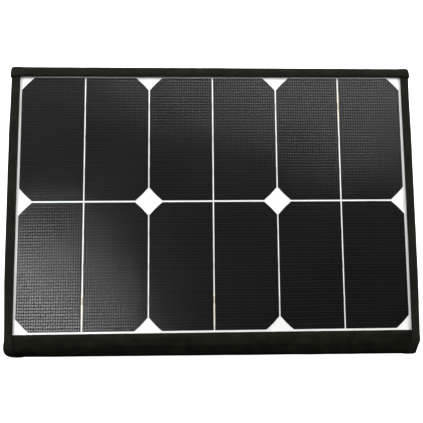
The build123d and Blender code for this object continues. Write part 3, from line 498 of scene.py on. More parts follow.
def sweep(name, route, profile, material, flip=1, ripple=None):
    """Sweeps a closed outline of (x, depth) points, given for each station by profile(y), along a route. flip
    is -1 for the left-hand side. ripple(y, s, x) lifts the cloth off its line."""
    rows, uvs = [], []
    for y, z, ny, nz, s in route.stations:
        outline = profile(y)
        row = []
        for (x, depth), v in zip(outline, lengths_along(outline)):
            d = depth - (ripple(y, s, flip * x) if ripple else 0.0)
            row.append((flip * x, y + ny * d, z + nz * d))
            uvs.append((s, v))
        rows.append(row)
    return loft(name, rows, uvs, material)


def smooth_step(t):
    """Eases from 0 to 1 as t does."""
    t = min(1.0, max(0.0, t))
    return t * t * (3 - 2 * t)


def round_off(radius, reach):
    """How far a round corner stands back from its edge at a reach from the corner's end."""
    return radius - sqrt(max(0.0, radius ** 2 - max(0.0, radius - reach) ** 2))


def wobble(x, s, size, scale, seed):
    """Smooth unevenness of cloth, the same each run."""
    return size * noise.noise(Vector((x / scale, s / scale, seed)))


def depth_at(outline, place):
    """Depth of an outline's first leg at a place along it."""
    for (a, depth_a), (b, depth_b) in zip(outline, outline[1:]):
        if place <= b:
            break
    return depth_a + (depth_b - depth_a) * (place - a) / (b - a)


# ------------ stitching
STITCH_LENGTH, STITCH_PITCH = 2.4, 3.3
THREAD_RADIUS, THREAD_SIDES = 0.2, 5
STITCH_ARCH = ((-0.5, -0.15, 0.8), (-0.3, 0.1, 1.0), (0.3, 0.1, 1.0), (0.5, -0.15, 0.8))
SEAM_INSET = 2.6  # from a tape's inner edge to its seam
SEAM_MARGIN = 2.0  # from the tape's end to the seam's


def seam(point_at, start, end):
    """Stitches along a seam, as (middle, direction, outward). point_at(s) gives the place and the outward
    direction at a distance along the seam."""
    count = max(1, int((end - start) / STITCH_PITCH))
    found = []
    for k in range(count):
        middle = start + (end - start) * (k + 0.5) / count
        (a, up), (b, _) = point_at(middle - STITCH_LENGTH / 2), point_at(middle + STITCH_LENGTH / 2)
        found.append(((a + b) / 2, (b - a).normalized(), up))
    return found


def straight_seam(start, end, up):
    """Stitches from one point to another on a flat face."""
    start, end = Vector(start), Vector(end)
    way = (end - start).normalized()
    return seam(lambda s: (start + way * s, Vector(up)), 0.0, (end - start).length)


def rectangle_seam(x0, x1, y0, y1, z, up):
    """Stitches round a rectangle on a flat face."""
    corners = [(x0, y0, z), (x1, y0, z), (x1, y1, z), (x0, y1, z)]
    sides = zip(corners, corners[1:] + corners[:1])
    return [stitch for a, b in sides for stitch in straight_seam(a, b, (0, 0, up))]


def stitching(name, stitches):
    """One mesh of many stitches, each a short arch of thread that dips into the cloth at both ends. An entry
    of STITCH_ARCH is a place along the stitch, its height and its thickness as a share of the thread's."""
    verts, faces = [], []
    for place, way, up in stitches:
        aside = way.cross(up)
        first = len(verts)
        for along, height, share in STITCH_ARCH:
            centre = place + way * (along * STITCH_LENGTH) + up * height
            for k in range(THREAD_SIDES):
                angle = 2 * pi * k / THREAD_SIDES
                spoke = aside * cos(angle) + up * sin(angle)
                verts.append(centre + spoke * (share * THREAD_RADIUS))
        faces += ring_faces(THREAD_SIDES, len(STITCH_ARCH), first)
    obj = make_object(name, verts, faces, THREAD)
    return obj


# ------------ folds and their creases
WALL_CORNER = 1.5  # where cloth turns up a panel's end
WALL_GAP = 1.2  # a panel's closing wall stops this far from the other cloth
INSET_REACH = 12.0  # how far past the panels' edges a fold's ends go on narrowing
SLACK_REACH = 0.75  # share of its radius over which a fold's cloth comes to stand out of its round
FLAT_START = 0.5  # where a fold's flat starts, past the start of its round
FLAT_FADE = 110.0  # how far from the left end that flat takes to form


# How a fold hangs. The pairs are for its left and its right end: how far its cloth stands out of its round,
# the round corner of its end, and how far that end narrows past the panels' edges. Just past the panel the
# cloth lies flatter than round, at slope, in degrees.
FoldLook = namedtuple("FoldLook", "slack corner inset slope")
FRONT_LOOK = FoldLook(slack=(-0.55, 1.45), corner=(8.0, 1.5), inset=(0.6, 3.6), slope=25.0)
REAR_LOOK = FoldLook(slack=(0.3, 0.3), corner=(4.0, 4.0), inset=(0.5, 0.5), slope=0.0)


def side_mix(pair, x, half):
    """Value at x on a width of twice half, between the pair's left and its right one."""
    return pair[0] + (pair[1] - pair[0]) * (x / half + 1) / 2


class Crease:
    """One crease, between a panel's body and a spine's. side is -1 at the near fold and 1 at the far one, top
    is 1 for a fold's upper crease and -1 for its lower one, skin_z is the outside of the panel's cloth and
    mid_z the middle of the spine. spread is not used."""

    def __init__(self, side, top, tangent, radius, skin_z, mid_z, panel, spine, spread, look):
        self.side, self.top, self.tangent, self.radius = side, top, tangent, radius
        self.skin_z, self.mid_z = skin_z, mid_z
        self.panel, self.spine, self.spread, self.look = panel, spine, spread, look
        self.end_y = side * (tangent + radius)
        self.inward = -side * top

    def route(self, start_y, step, arc_step, wall=False):
        """Line from start_y along the panel's skin, round the corner and on to the spine's middle. With a
        wall it starts on the panel's other skin."""
        points = [(start_y, self.skin_z, 0)]
        if wall:
            points = [(start_y, self.skin_z - self.top * SLAB, 0), (start_y, self.skin_z, WALL_CORNER)]
        points += [(self.end_y, self.skin_z, self.radius), (self.end_y, self.mid_z, 0)]
        return Route(points, self.inward, step, arc_step)

    def point(self, angle, depth=0.0):
        """Place at an angle round the corner, in metres."""
        r = self.radius - depth
        y = self.side * (self.tangent + r * sin(radians(angle)))
        z = self.skin_z - self.top * (self.radius - r * cos(radians(angle)))
        return (0.0, y * MM, z * MM)

    def narrowing(self, y, end):
        """How far the fold's left (0) or right (1) end is drawn in at y."""
        past = y * self.side - BAG_Y
        reach = max(0.0, self.tangent + self.radius - y * self.side)
        inset = self.look.inset[end] * min(1.0, max(0.0, past / INSET_REACH))
        return inset + round_off(self.look.corner[end], reach)

    def slack(self, y, x):
        """How far the fold's cloth stands out of its round at y."""
        past = y * self.side - self.tangent
        if past <= 0:
            return 0.0
        angle = asin(min(1.0, past / self.radius))
        slope = radians(self.look.slope)
        chord = (FLAT_START * sin(slope) + self.radius * cos(slope)) / cos(angle - slope)
        flat = min(0.0, chord - self.radius) * smooth_step((x + BAG_X) / FLAT_FADE)
        out = side_mix(self.look.slack, x, BAG_X)
        return out * smooth_step(past / (SLACK_REACH * self.radius)) + flat

    def blend(self, obj):
        """Bakes obj's placement into its mesh."""
        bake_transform(obj)


def all_creases():
    """The two creases of each fold, by name."""
    found = {}
    for fold, side, tangent, radius, skins, spread, look in (
            ("ab", -1, FRONT_TANGENT, FRONT_RADIUS, (A_FACE, B_FACE), 24, FRONT_LOOK),
            ("bc", 1, REAR_TANGENT, REAR_RADIUS, (B_BACK, C_BACK), 38, REAR_LOOK)):
        for level, top, skin_z, panel in zip(("top", "low"), (1, -1), skins, fold):
            found[f"{fold}_{level}"] = Crease(side, top, tangent, radius, skin_z, sum(skins) / 2,
                                              f"panel_{panel}", f"spine_{fold}", spread, look)
    return found


CREASES = all_creases()


# ------------ cloth
CLOTH_EASE = 0.3  # cloth's edge inside the tape
WINDOW_LAP = 0.6  # how far the near cloth's edge lies over the window
FOLD_RIPPLES = ((0.25, 28.0, 0.0), (0.12, 9.0, 5.0))  # size, scale and seed, for wobble
PANEL_RIPPLE = (0.2, 25.0)


def sheet_outline(left, right, thickness, count=56):
    """Outline of a flat sheet of cloth from -left to right, as (x, depth)."""
    xs = [-left + (left + right) * k / count for k in range(count + 1)]
    return [(x, 0.0) for x in xs] + [(x, thickness) for x in reversed(xs)]


def ripples(x, s, rows, seed=0.0):
    """Sum of several wobbles, each given as its size, scale and seed."""
    return sum(wobble(x, s, size, scale, seed + more) for size, scale, more in rows)


def fold_cloth(name, crease, start_y, material, stands_for, wall=False, seed=1.0):
    """Cloth from a panel's far edge or window round a fold to the spine's middle."""
    route = crease.route(start_y, 5.0, 4.5, wall)

    def outline(y):
        left, right = (BAG_X - CLOTH_EASE - crease.narrowing(y, end) for end in (0, 1))
        return sheet_outline(left, right, CLOTH)

    def ripple(y, s, x):
        return ripples(x, s, FOLD_RIPPLES, seed) + crease.slack(y, x)

    obj = sweep(name, route, outline, material, ripple=ripple)
    crease.blend(obj)
    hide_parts(*stands_for)


def panel_cloth(name, points, inward, material, body, stands_for, seed):
    """Cloth that lies on one panel and turns at its end."""
    route = Route(points, inward, step=6.0, arc_step=12.0)
    outline = sheet_outline(BAG_X, BAG_X, CLOTH)
    obj = sweep(name, route, lambda y: outline, material,
                ripple=lambda y, s, x: wobble(x, s, *PANEL_RIPPLE, seed))
    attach(obj, body)
    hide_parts(stands_for)


TAPE_LEG = 7  # divisions of a tape's leg
LEG_SHARES = [k / TAPE_LEG for k in range(TAPE_LEG)]
SIDE_PUFF = (1.5, 0.8)  # how far the left and the right side tape stand out at mid length
PUFF_FADE = 70.0  # and how far from a panel's ends that takes to form
END_PUFF = 0.6  # how far both stand out beside the panel's free end
END_PUFF_FADE = 45.0  # and how far from that end
SIDE_LAP = (0.2, 0.5)  # how far they lie over the window at mid length, and how much more at an end
NARROWING_LAP = 0.7  # share of a fold's narrowing that the tape's inner edge is drawn in by
SIDE_CROWN = 0.25  # height of the bow of a tape's leg
SIDE_RIPPLES = ((0.16, 16.0, 0.0), (0.10, 5.0, 3.0))
FOLD_TAPE = 0.45  # thickness of the tape pulled flat round a fold
TAPE_THINS = (3.0, 6.0)  # how far before the panel's end it starts to thin, and over what length
END_COVER = 10.0  # length of side tape under an end tape


def bowed_leg(start, end, depth, crown):
    """A tape's leg from start to before end, at a depth, bowed outwards by crown."""
    return [(start + (end - start) * t, depth - crown * sin(pi * t)) for t in LEG_SHARES]


def rounds(edge, top, back, r, steps):
    """The two round corners of an edge, from depth top to depth back, each in so many steps."""
    turns = [pi / 2 * k / steps for k in range(steps + 1)]
    return ([(edge - r + r * sin(a), top + r - r * cos(a)) for a in turns]
            + [(edge - r + r * cos(a), back - r + r * sin(a)) for a in turns])


def tape_outline(wrapped, puff, lap, crown, thick):
    """C outline of a tape folded over an edge that is wrapped thick, as (x, depth) on the right side. puff
    pushes its round outwards, lap moves its inner edge over the window and crown bows its leg."""
    r_out = min(EDGE_ROUND + thick, wrapped / 2 + thick)
    r_in = max(r_out - thick, 0.05)
    inner, outer, back = WINDOW_X - lap, BAG_X + TAPE + puff, wrapped + thick
    points = bowed_leg(inner, outer - r_out, -thick, crown) + rounds(outer, -thick, back, r_out, 5)
    points += [(inner, back), (inner, wrapped)] + rounds(outer - thick, 0.0, wrapped, r_in, 3)[::-1]
    return points + [(inner, 0.0)]


def half_round(outline):
    """Half the way round a closed outline: the width of the tape that was folded into it."""
    return lengths_along(outline + outline[:1])[-1] / 2


def side_tape(name, crease, start_y, side, stands_for, seed):
    """Tape over a panel's side and on round the fold to the spine's middle, sewn through with one seam."""
    route = crease.route(start_y, 3.0, 4.5)
    flip, end = (-1, 0) if side == "left" else (1, 1)
    thins_y = BAG_Y - TAPE_THINS[0]

    def outline(y):
        puff = SIDE_PUFF[end] * smooth_step((BAG_Y - abs(y)) / PUFF_FADE)
        puff += END_PUFF * (1 - smooth_step((BAG_Y + y * crease.side) / END_PUFF_FADE))
        inset = crease.narrowing(y, end)
        lap = SIDE_LAP[0] + SIDE_LAP[1] * (y / BAG_Y) ** 2 + NARROWING_LAP * inset
        flat = smooth_step((y * crease.side - thins_y) / TAPE_THINS[1])
        return tape_outline(SLAB + (CLOTH - SLAB) * flat, puff - inset, lap, SIDE_CROWN * (1 - flat),
                            TAPE + (FOLD_TAPE - TAPE) * flat)

    def ripple(y, s, x):
        return ripples(x, s, SIDE_RIPPLES, seed) + crease.slack(y, x)

    def sewn(s, out=-1):
        """The seam's place and outward direction at s: on the face, or with out 1 on the back."""
        y, z, ny, nz = route.at(s)
        points = outline(y)
        x = points[0][0] + SEAM_INSET
        d = (depth_at(points, x) if out < 0 else SLAB + TAPE) - ripple(y, s, flip * x)
        return Vector((flip * x, y + ny * d, z + nz * d)), Vector((0, out * ny, out * nz))

    obj = sweep(name, route, outline, TAPE_CLOTH, flip, ripple)
    first = END_COVER if start_y else STITCH_PITCH / 2
    panel_part = abs(crease.side * thins_y - start_y)
    stitches = stitching(name.replace("tape", "stitches"), seam(sewn, first, route.length - SEAM_MARGIN)
                         + seam(lambda s: sewn(s, 1), first, panel_part - SEAM_MARGIN))
    for piece in (obj, stitches):
        crease.blend(piece)
    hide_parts(*stands_for)
    half_round(outline(start_y))


END_LAP = 0.35  # how far an end tape's edge lies over the window
END_BULGE = (1.1, 0.0)  # how far it stands out at its left and its right end
END_ROUND = 2.6  # rounding along it
END_THICK = 0.7  # of the tape, whose tucked ends are closed
END_CROWN = 0.3  # height of the bow of its leg
END_RIPPLES = ((0.18, 14.0, 8.0), (0.1, 5.0, 4.0))
CAP_TRIM = 0.6  # a tucked end stops this far inside the CAD's
CAP_START = 1.2  # and starts this far inside the window's side
CAP_ROWS = (0.8, 4.0)  # rows of points past its start
CAP_TIP = (5.0, 3.4, 2.2, 1.2, 0.5, 0.12, 0.0)  # and near its tip, from the tip
CAP_CORNER = 3.4  # its round corner
CAP_RISE = (0.75, 1.2)  # how much higher it is, over the side tape, and the length that this takes
CAP_DROP = (1.3, 8.0)  # how much further it reaches over the panel, and the same
CAP_FILL = 1.2  # length over which its two faces join
CAP_CLOSE = 0.8  # how far its face comes down at the tip, and over what length


def end_tape(name, side, face_z, window_edge, body, stands_for):
    """Tape over a panel's free end, with tucked ends that lap over the side tapes."""
    cap_x, inner = CAP_X - CAP_TRIM, WINDOW_X - CAP_START
    ends = [inner + past for past in CAP_ROWS] + [cap_x - reach for reach in CAP_TIP]
    xs = [-x for x in reversed(ends)] + [inner * (2 * k / 60 - 1) for k in range(61)] + ends

    def outline(x):
        past = abs(x) - inner
        from_tip = cap_x - abs(x)
        lift = TAPE + CAP_RISE[0] * smooth_step(past / CAP_RISE[1])
        lift -= CAP_CLOSE * smooth_step((CAP_CLOSE - from_tip) / CAP_CLOSE)
        start = window_edge - END_LAP - CAP_DROP[0] * smooth_step(past / CAP_DROP[1])
        edge = BAG_Y + TAPE + side_mix(END_BULGE, x, cap_x) - round_off(CAP_CORNER, from_tip)
        back = SLAB + lift
        thick = END_THICK + (back - SLAB / 2 - END_THICK) * smooth_step((CAP_CORNER - from_tip) / CAP_FILL)
        leg = bowed_leg(start, edge - END_ROUND, -lift, END_CROWN)
        inside = [(start, back - thick), (BAG_Y, back - thick), (BAG_Y, thick - lift), (start, thick - lift)]
        return leg + rounds(edge, -lift, back, END_ROUND, 4) + [(start, back)] + inside

    def place(x, y, depth):
        return Vector((x, side * y, face_z - depth + ripples(x, y, END_RIPPLES)))

    def sewn(s, up=1):
        """The seam's place and outward direction at s: on the face, or with up -1 on the back."""
        points = outline(s - inner)
        y = points[0][0] + SEAM_INSET
        return place(s - inner, y, depth_at(points, y) if up > 0 else SLAB + TAPE), Vector((0, 0, up))

    outlines = [outline(x) for x in xs]
    rows = [[place(x, y, depth) for y, depth in points] for x, points in zip(xs, outlines)]
    uvs = [(x, v) for x, points in zip(xs, outlines) for v in lengths_along(points)]
    obj = loft(name, rows, uvs, TAPE_CLOTH)
    reach = (SEAM_MARGIN, 2 * inner - SEAM_MARGIN)
    stitches = stitching(name.replace("tape", "stitches"), seam(sewn, *reach)
                         + seam(lambda s: sewn(s, -1), *reach))
    for piece in (obj, stitches):
        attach(piece, body)
    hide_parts(stands_for)
    half_round(outline(0.0))


CABLE_X, CABLE_HALF, CABLE_THICK = -120.0, 6.0, 1.2
CABLE_DEPTH = {"ab": 3.0, "bc": 2.4}  # under the outside of each fold's cloth
STIFFENER_X, STIFFENER_THICK = 191.75, 1.6
STIFFENER_START, STIFFENER_STEP = 46, 4  # degrees round a fold's corner
STIFFENER_ROW = 1.2  # from one row of its points to the next


def fold_cable(name, crease, depth, stands_for):
    """Flat cable inside a fold, from the panel's edge to the spine's middle."""
    route = crease.route(crease.side * BAG_Y, 6.0, 12.0)
    outline = [(x + CABLE_X, d + depth) for x, d in sheet_outline(CABLE_HALF, CABLE_HALF, CABLE_THICK, 4)]
    obj = sweep(name, route, lambda y: outline, CABLE)
    crease.blend(obj)
    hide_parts(*stands_for)


def fold_stiffener(name, upper, lower, body, stands_for):
    """Stiffener inside a fold, from crease to crease."""
    angles = range(STIFFENER_START, 91, STIFFENER_STEP)
    places = [(upper, angle) for angle in angles] + [(lower, angle) for angle in reversed(angles)]
    xs = [STIFFENER_X * (2 * k / 40 - 1) for k in range(41)]
    rows, uvs = [], []
    for i, (crease, angle) in enumerate(places):
        row = []
        for depth, line in ((CLOTH, xs), (CLOTH + STIFFENER_THICK, xs[::-1])):
            _, y, z = (c / MM for c in crease.point(angle, depth))
            row += [(x, y, z) for x in line]
        rows.append(row)
        uvs += [(x, STIFFENER_ROW * i) for x, _, _ in row]
    obj = loft(name, rows, uvs, STIFFENER)
    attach(obj, body)
    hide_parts(stands_for)


def build_cloth():
    """Cloth of the three panels and the two folds between them."""
    fold_cloth("near_cloth_a", CREASES["ab_top"], WINDOW_LAP - WINDOW_NEAR, CLOTH_FACE,
               ("face_cover_a", "spine_cover_ab"))
    fold_cloth("near_cloth_b", CREASES["ab_low"], -WINDOW_FAR, CLOTH_FACE,
               ("face_cover_b", "spine_cover_ab"))
    fold_cloth("back_cloth_b", CREASES["bc_top"], -BAG_Y, CLOTH_BACK,
               ("back_cover_b", "spine_cover_bc"), wall=True, seed=3.0)
    fold_cloth("back_cloth_c", CREASES["bc_low"], -BAG_Y, CLOTH_BACK,
               ("back_cover_c", "spine_cover_bc"), wall=True, seed=4.0)
    points = [(-BAG_Y, A_FACE - WALL_GAP, 0), (-BAG_Y, A_BACK, WALL_CORNER), (BAG_Y, A_BACK, 0)]
    panel_cloth("back_cloth_a", points, 1, CLOTH_BACK, "panel_a", "back_cover_a", 11.0)
    for panel, edge, face, wall_z, inward, seed in (("b", WINDOW_NEAR, B_FACE, B_BACK - WALL_GAP, 1, 12.0),
                                                    ("c", WINDOW_FAR, C_FACE, C_BACK + WALL_GAP, -1, 13.0)):
        points = [(edge, face, 0), (BAG_Y, face, WALL_CORNER), (BAG_Y, wall_z, 0)]
        panel_cloth(f"rear_lip_{panel}", points, inward, CLOTH_FACE, f"panel_{panel}", f"face_cover_{panel}",
                    seed)


def build_tapes():
    """Tape round every edge: along both sides and round the folds, and over the strip's two ends."""
    for side, seed in (("right", 30.0), ("left", 20.0)):
        for name, crease, start_y, panel, fold in (
                ("side_tape_a", "ab_top", BAG_Y, "a", "ab"), ("side_tape_b_near", "ab_low", 0.0, "b", "ab"),
                ("side_tape_b_far", "bc_top", 0.0, "b", "bc"), ("side_tape_c", "bc_low", -BAG_Y, "c", "bc")):
            side_tape(f"{name}_{side}", CREASES[crease], start_y, side,
                      (f"side_bindings_{panel}", f"spine_bindings_{fold}"), seed)
            seed += 1.0
    end_tape("end_tape_a", 1, A_FACE, WINDOW_FAR, "panel_a", "end_binding_a")
    end_tape("end_tape_c", -1, C_FACE, WINDOW_NEAR, "panel_c", "end_binding_c")


def build_folds_inside():
    """Flat cables and stiffeners that show when a fold is looked into."""
    for fold, depth in CABLE_DEPTH.items():
        upper, lower = CREASES[fold + "_top"], CREASES[fold + "_low"]
        for crease, panel in zip((upper, lower), fold):
            fold_cable(f"flat_cable_{fold}_{panel}", crease, depth,
                       (f"jumper_{panel}", f"spine_jumper_{fold}"))
        fold_stiffener("stiffener_" + fold, upper, lower, "spine_" + fold, "spine_pad_" + fold)


# ------------ spacers and hook and loop pads
PAD_LENGTH = 70.0
PAD_SEAM = 2.0  # from a pad's edge to its seam
PAD_EASE = 0.1  # keeps a pad inside the CAD's


def soft_block(name, low, high, bulge, corner, material):
    """Block with rounded edges and faces that crown by bulge, as a grid over the faces of a box. A point's
    key is its place (i, j, k) in that grid."""
    centre = [(a + b) / 2 for a, b in zip(low, high)]
    half = [(b - a) / 2 for a, b in zip(low, high)]
    counts = [max(4, round(h / 3)) for h in half[:2]] + [4]
    verts, faces, index = [], [], {}

    def vertex(key):
        if key not in index:
            unit = [2 * n / c - 1 for n, c in zip(key, counts)]
            core = [max(corner - h, min(h - corner, u * h)) for u, h in zip(unit, half)]
            outward = Vector([u * h - c for u, h, c in zip(unit, half, core)]).normalized() * corner
            lift = [0.0, 0.0, 0.0]
            on = [a for a in range(3) if abs(unit[a]) == 1]
            if len(on) == 1:
                others = [unit[a] for a in range(3) if a != on[0]]
                lift[on[0]] = unit[on[0]] * bulge * (1 - others[0] ** 4) * (1 - others[1] ** 4)
            index[key] = len(verts)
            verts.append(tuple(centre[a] + core[a] + outward[a] + lift[a] for a in range(3)))
        return index[key]

    for axis in range(3):
        u, w = [a for a in range(3) if a != axis]
        for end, i, j in product((0, counts[axis]), range(counts[u]), range(counts[w])):
            quad = []
            for du, dw in ((0, 0), (1, 0), (1, 1), (0, 1)):
                key = [0, 0, 0]
                key[axis], key[u], key[w] = end, i + du, j + dw
                quad.append(vertex(tuple(key)))
            faces.append(tuple(quad))
    return make_object(name, verts, faces, material, [(v[0] + v[2], v[1] + v[2]) for v in verts])


def build_closure():
    """Padded spacers and their hook and loop pads, one of each on either side."""
    for node, body, material, bulge, corner, slot, seam_face in (
            ("spacers", "panel_b", POCKET_CLOTH, 0.6, 3.0, "spacer_foam", None),
            ("loop_pads", "panel_b", LOOP, 0.0, 0.6, "hook_and_loop", 1),
            ("hook_pads", "panel_a", HOOK, 0.0, 0.6, "hook_and_loop", -1)):
        low, high = box_mm(node)
        inset = bulge + PAD_EASE
        y0, y1 = low[1] + inset, high[1] - inset
        for side, edge in (("left", low[0]), ("right", high[0] - PAD_LENGTH)):
            x0, x1 = edge + inset, edge + PAD_LENGTH - inset
            corners = (x0, y0, low[2]), (x1, y1, high[2])
            obj = soft_block(f"{node[:-1]}_{side}", *corners, bulge, corner, material)
            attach(obj, body)
            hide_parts(node)
            if seam_face is None:
                continue
            z = high[2] if seam_face > 0 else low[2]
            stitches = stitching(f"{node[:-1]}_stitches_{side}", rectangle_seam(
                x0 + PAD_SEAM, x1 - PAD_SEAM, y0 + PAD_SEAM, y1 - PAD_SEAM, z, seam_face))
            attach(stitches, body)


# ------------ pocket
POCKET_FLANGE = 7.0
POCKET_HEIGHT = 11.0
POCKET_CLOTH_THICK = 1.0
POCKET_CORNER = 12.0
POCKET_GAP = 0.05  # under its cloth
POCKET_TRIM = 0.2  # a flange stops this far inside the CAD's
POCKET_HEM = 1.3  # room for the tape that laps past the mouth
POCKET_RISE = (16.0, 0.8)  # length over which it rises from its near wall, and the power of that rise
POCKET_FINE = 18.0  # this much from the near wall has close rows
MOUTH_SAG, MOUTH_REACH = 1.0, 26.0  # how far the mouth sags, and how far in front of it that starts
TOP_RUMPLES = ((0.5, 32.0, 3.0), (0.22, 11.5, 6.0))
TOP_DROP, TOP_EDGE_DROP = 0.45, 0.9  # how far its top and the sides of that lie under its full height
TOP_EDGE = 14.0  # one part in this many of its width is such a side
WALL_FOOT = 1.0  # from a wall to the flange's first point
TOP_INSET, WALL_LEAN = 2.0, 0.3  # of the top from the wall's foot, and of each point up a wall
TOP_POINTS, WALL_POINTS = 61, 5  # points across the top and up a wall
HEM_OUTLINE = ((-12.0, 0.12), (-11.0, 0.9), (-1.0, 1.0), (0.6, 0.7), (1.2, -0.2), (1.1, -1.2), (0.2, -2.0),
               (-11.0, -2.1), (-12.0, -1.9), (-11.8, -1.2), (-0.2, -1.1), (0.2, -0.8),
               (0.0, 0.0))  # (beyond the mouth, above its cloth)
HEM_RIPPLE = (0.1, 3.0, 1.0)


def pocket_row(x0, x1, y0, y1, y):
    """The pocket cloth's line across at y, as (x, height above the panel's back): flange, wall, crowned top,
    wall and flange."""
    opened = min(1.0, max(0.0, (y - y0) / POCKET_RISE[0]))
    height = (POCKET_HEIGHT - POCKET_CLOTH_THICK) * sin(opened * pi / 2) ** POCKET_RISE[1]
    narrow = round_off(POCKET_CORNER, max(0.0, y - y0))
    left, right = x0 + narrow, x1 - narrow
    side = [(POCKET_TRIM - POCKET_FLANGE, 0.0), (-WALL_FOOT, 0.0)]
    side += [(WALL_LEAN * k, height * (k + 0.5) / WALL_POINTS) for k in range(WALL_POINTS)]
    points = [(left + x, h) for x, h in side]
    for k in range(TOP_POINTS):
        t = k / (TOP_POINTS - 1)
        x = left + TOP_INSET + (right - left - 2 * TOP_INSET) * t
        edge = min(1.0, min(t, 1 - t) * TOP_EDGE)
        mouth = MOUTH_SAG * smooth_step((y - y1 + MOUTH_REACH) / MOUTH_REACH) * sin(pi * t)
        lift = (ripples(x, y, TOP_RUMPLES) - TOP_DROP - mouth) * edge * height / POCKET_HEIGHT
        points.append((x, height - TOP_EDGE_DROP * (1 - edge) + lift))
    return points + [(right - x, h) for x, h in reversed(side)]


def pocket_hem(mouth, y1):
    """Elastic tape folded over the pocket's mouth, following its sag."""
    rows = [[(x, y1 + dy, z + dz + wobble(x, 0.5 * dy, *HEM_RIPPLE)) for dy, dz in HEM_OUTLINE]
            for x, _, z in mouth]
    uvs = [(x, v) for x, _, _ in mouth for v in lengths_along(HEM_OUTLINE)]
    obj = loft("pocket_hem", rows, uvs, TAPE_CLOTH)
    return obj


def pocket_seams(x0, x1, y0, y1, z):
    """Stitches along the flange on the pocket's three sewn sides."""
    half, up = POCKET_FLANGE / 2, (0, 0, 1)
    near = y0 - half
    rows = straight_seam((x0 + POCKET_CORNER - half, near, z), (x1 - POCKET_CORNER + half, near, z), up)
    for x, way in ((x0 - half, 1), (x1 + half, -1)):
        def along(s, x=x, way=way):
            return Vector((x + way * round_off(POCKET_CORNER, s), y0 + s, z)), Vector(up)
        rows += seam(along, STITCH_LENGTH / 2 + 1.0, y1 - y0 - SEAM_MARGIN)
    return rows


def build_pocket():
    """Bellows pocket: one cloth over flange, walls and a crowned, rumpled top, with a taped mouth."""
    low, high = box_mm("pocket")
    x0, x1 = low[0] + POCKET_FLANGE, high[0] - POCKET_FLANGE
    y0, y1 = low[1] + POCKET_FLANGE, high[1] - POCKET_HEM
    bottom, top = low[2] + POCKET_GAP, low[2] + POCKET_CLOTH_THICK
    ys = [y0 - POCKET_FLANGE + POCKET_TRIM, y0 - WALL_FOOT] + [y0 + 1.5 * k for k in range(11)]
    ys += [y0 + POCKET_FINE + (y1 - y0 - POCKET_FINE) * k / 44 for k in range(45)]
    rows = []
    for y in ys:
        line = pocket_row(x0, x1, y0, y1, y)
        rows.append([(x, y, top + h) for x, h in line] + [(x, y, bottom + h) for x, h in reversed(line)])
    uvs = [(x + 0.7 * z, y) for row in rows for x, y, z in row]
    cloth = loft("pocket_cloth", rows, uvs, POCKET_CLOTH)
    across = len(rows[-1]) // 2
    skip = WALL_POINTS + 2
    hem = pocket_hem(rows[-1][skip:across - skip], y1)
    stitches = stitching("pocket_stitches", pocket_seams(x0, x1, y0, y1, top))
    for piece in (cloth, hem, stitches):
        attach(piece, "panel_b")
    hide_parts("pocket")
    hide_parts("pocket")


# ------------ screws of the controller
CASE_SCREWS = (44.0, 30.0)  # cover screws, from the controller's centre
CASE_SCREW = (2.7, 0.9)  # radius and height of a pan head
CLAMP_SCREW = (1.9, 0.9)
CLAMP_PLACES = (-22.5, -11.5, -0.5, 10.5)  # along X, from the controller's centre
CLAMP_Y, CLAMP_DEPTH = 29.5, 3.4  # where they are along Y, and how deep under the cover's face
PAN_HEAD = ((1.0, 0.0), (1.0, 0.45), (0.9, 0.75), (0.7, 0.93), (0.35, 1.0))  # shares of radius and height
SCREW_SIDES = 28
SLOT_HALF, SLOT_DEPTH = 0.35, 0.5  # half width and depth of a driver slot
SLOT_REACH = {1: 1.1, 2: 0.75}  # half length of one slot, and of two crossed ones, as shares of the radius


def screw(name, x, y, z, size, slots):
    """Pan-head screw that faces down, with one or two crossed driver slots cut by a boolean."""
    radius, height = size
    turns = [2 * pi * k / SCREW_SIDES for k in range(SCREW_SIDES)]
    verts = [(x + r * radius * cos(a), y + r * radius * sin(a), z - h * height)
             for r, h in PAN_HEAD for a in turns]
    last, tip = len(verts) - SCREW_SIDES, len(verts)
    verts.append((x, y, z - height))
    faces = ring_faces(SCREW_SIDES, len(PAN_HEAD))
    faces += [(last + k, last + (k + 1) % SCREW_SIDES, tip) for k in range(SCREW_SIDES)]
    faces.append(tuple(range(SCREW_SIDES)))
    head = make_object(name, verts, faces, STEEL)
    for turn in range(slots):
        reach = [SLOT_REACH[slots] * radius, SLOT_HALF]
        if turn:
            reach.reverse()
        cut_slot(head, x, y, z - height, reach)
    return head


def cut_slot(head, x, y, z, reach):
    """Cuts a box-shaped driver slot into a screw's face at z."""
    corners = [(x + sx * reach[0], y + sy * reach[1], z + h) for h in (-1.0, SLOT_DEPTH)
               for sx, sy in ((-1, -1), (1, -1), (1, 1), (-1, 1))]
    cutter = make_object("cutter", corners, [(0, 1, 2, 3), (4, 5, 6, 7)] + ring_faces(4, 2), STEEL)
    cut = head.modifiers.new("slot", "BOOLEAN")
    cut.operation, cut.object, cut.solver = "DIFFERENCE", cutter, "EXACT"
    graph = bpy.context.evaluated_depsgraph_get()
    mesh = bpy.data.meshes.new_from_object(head.evaluated_get(graph))
    head.modifiers.clear()
    head.data = mesh
    bpy.data.objects.remove(cutter)


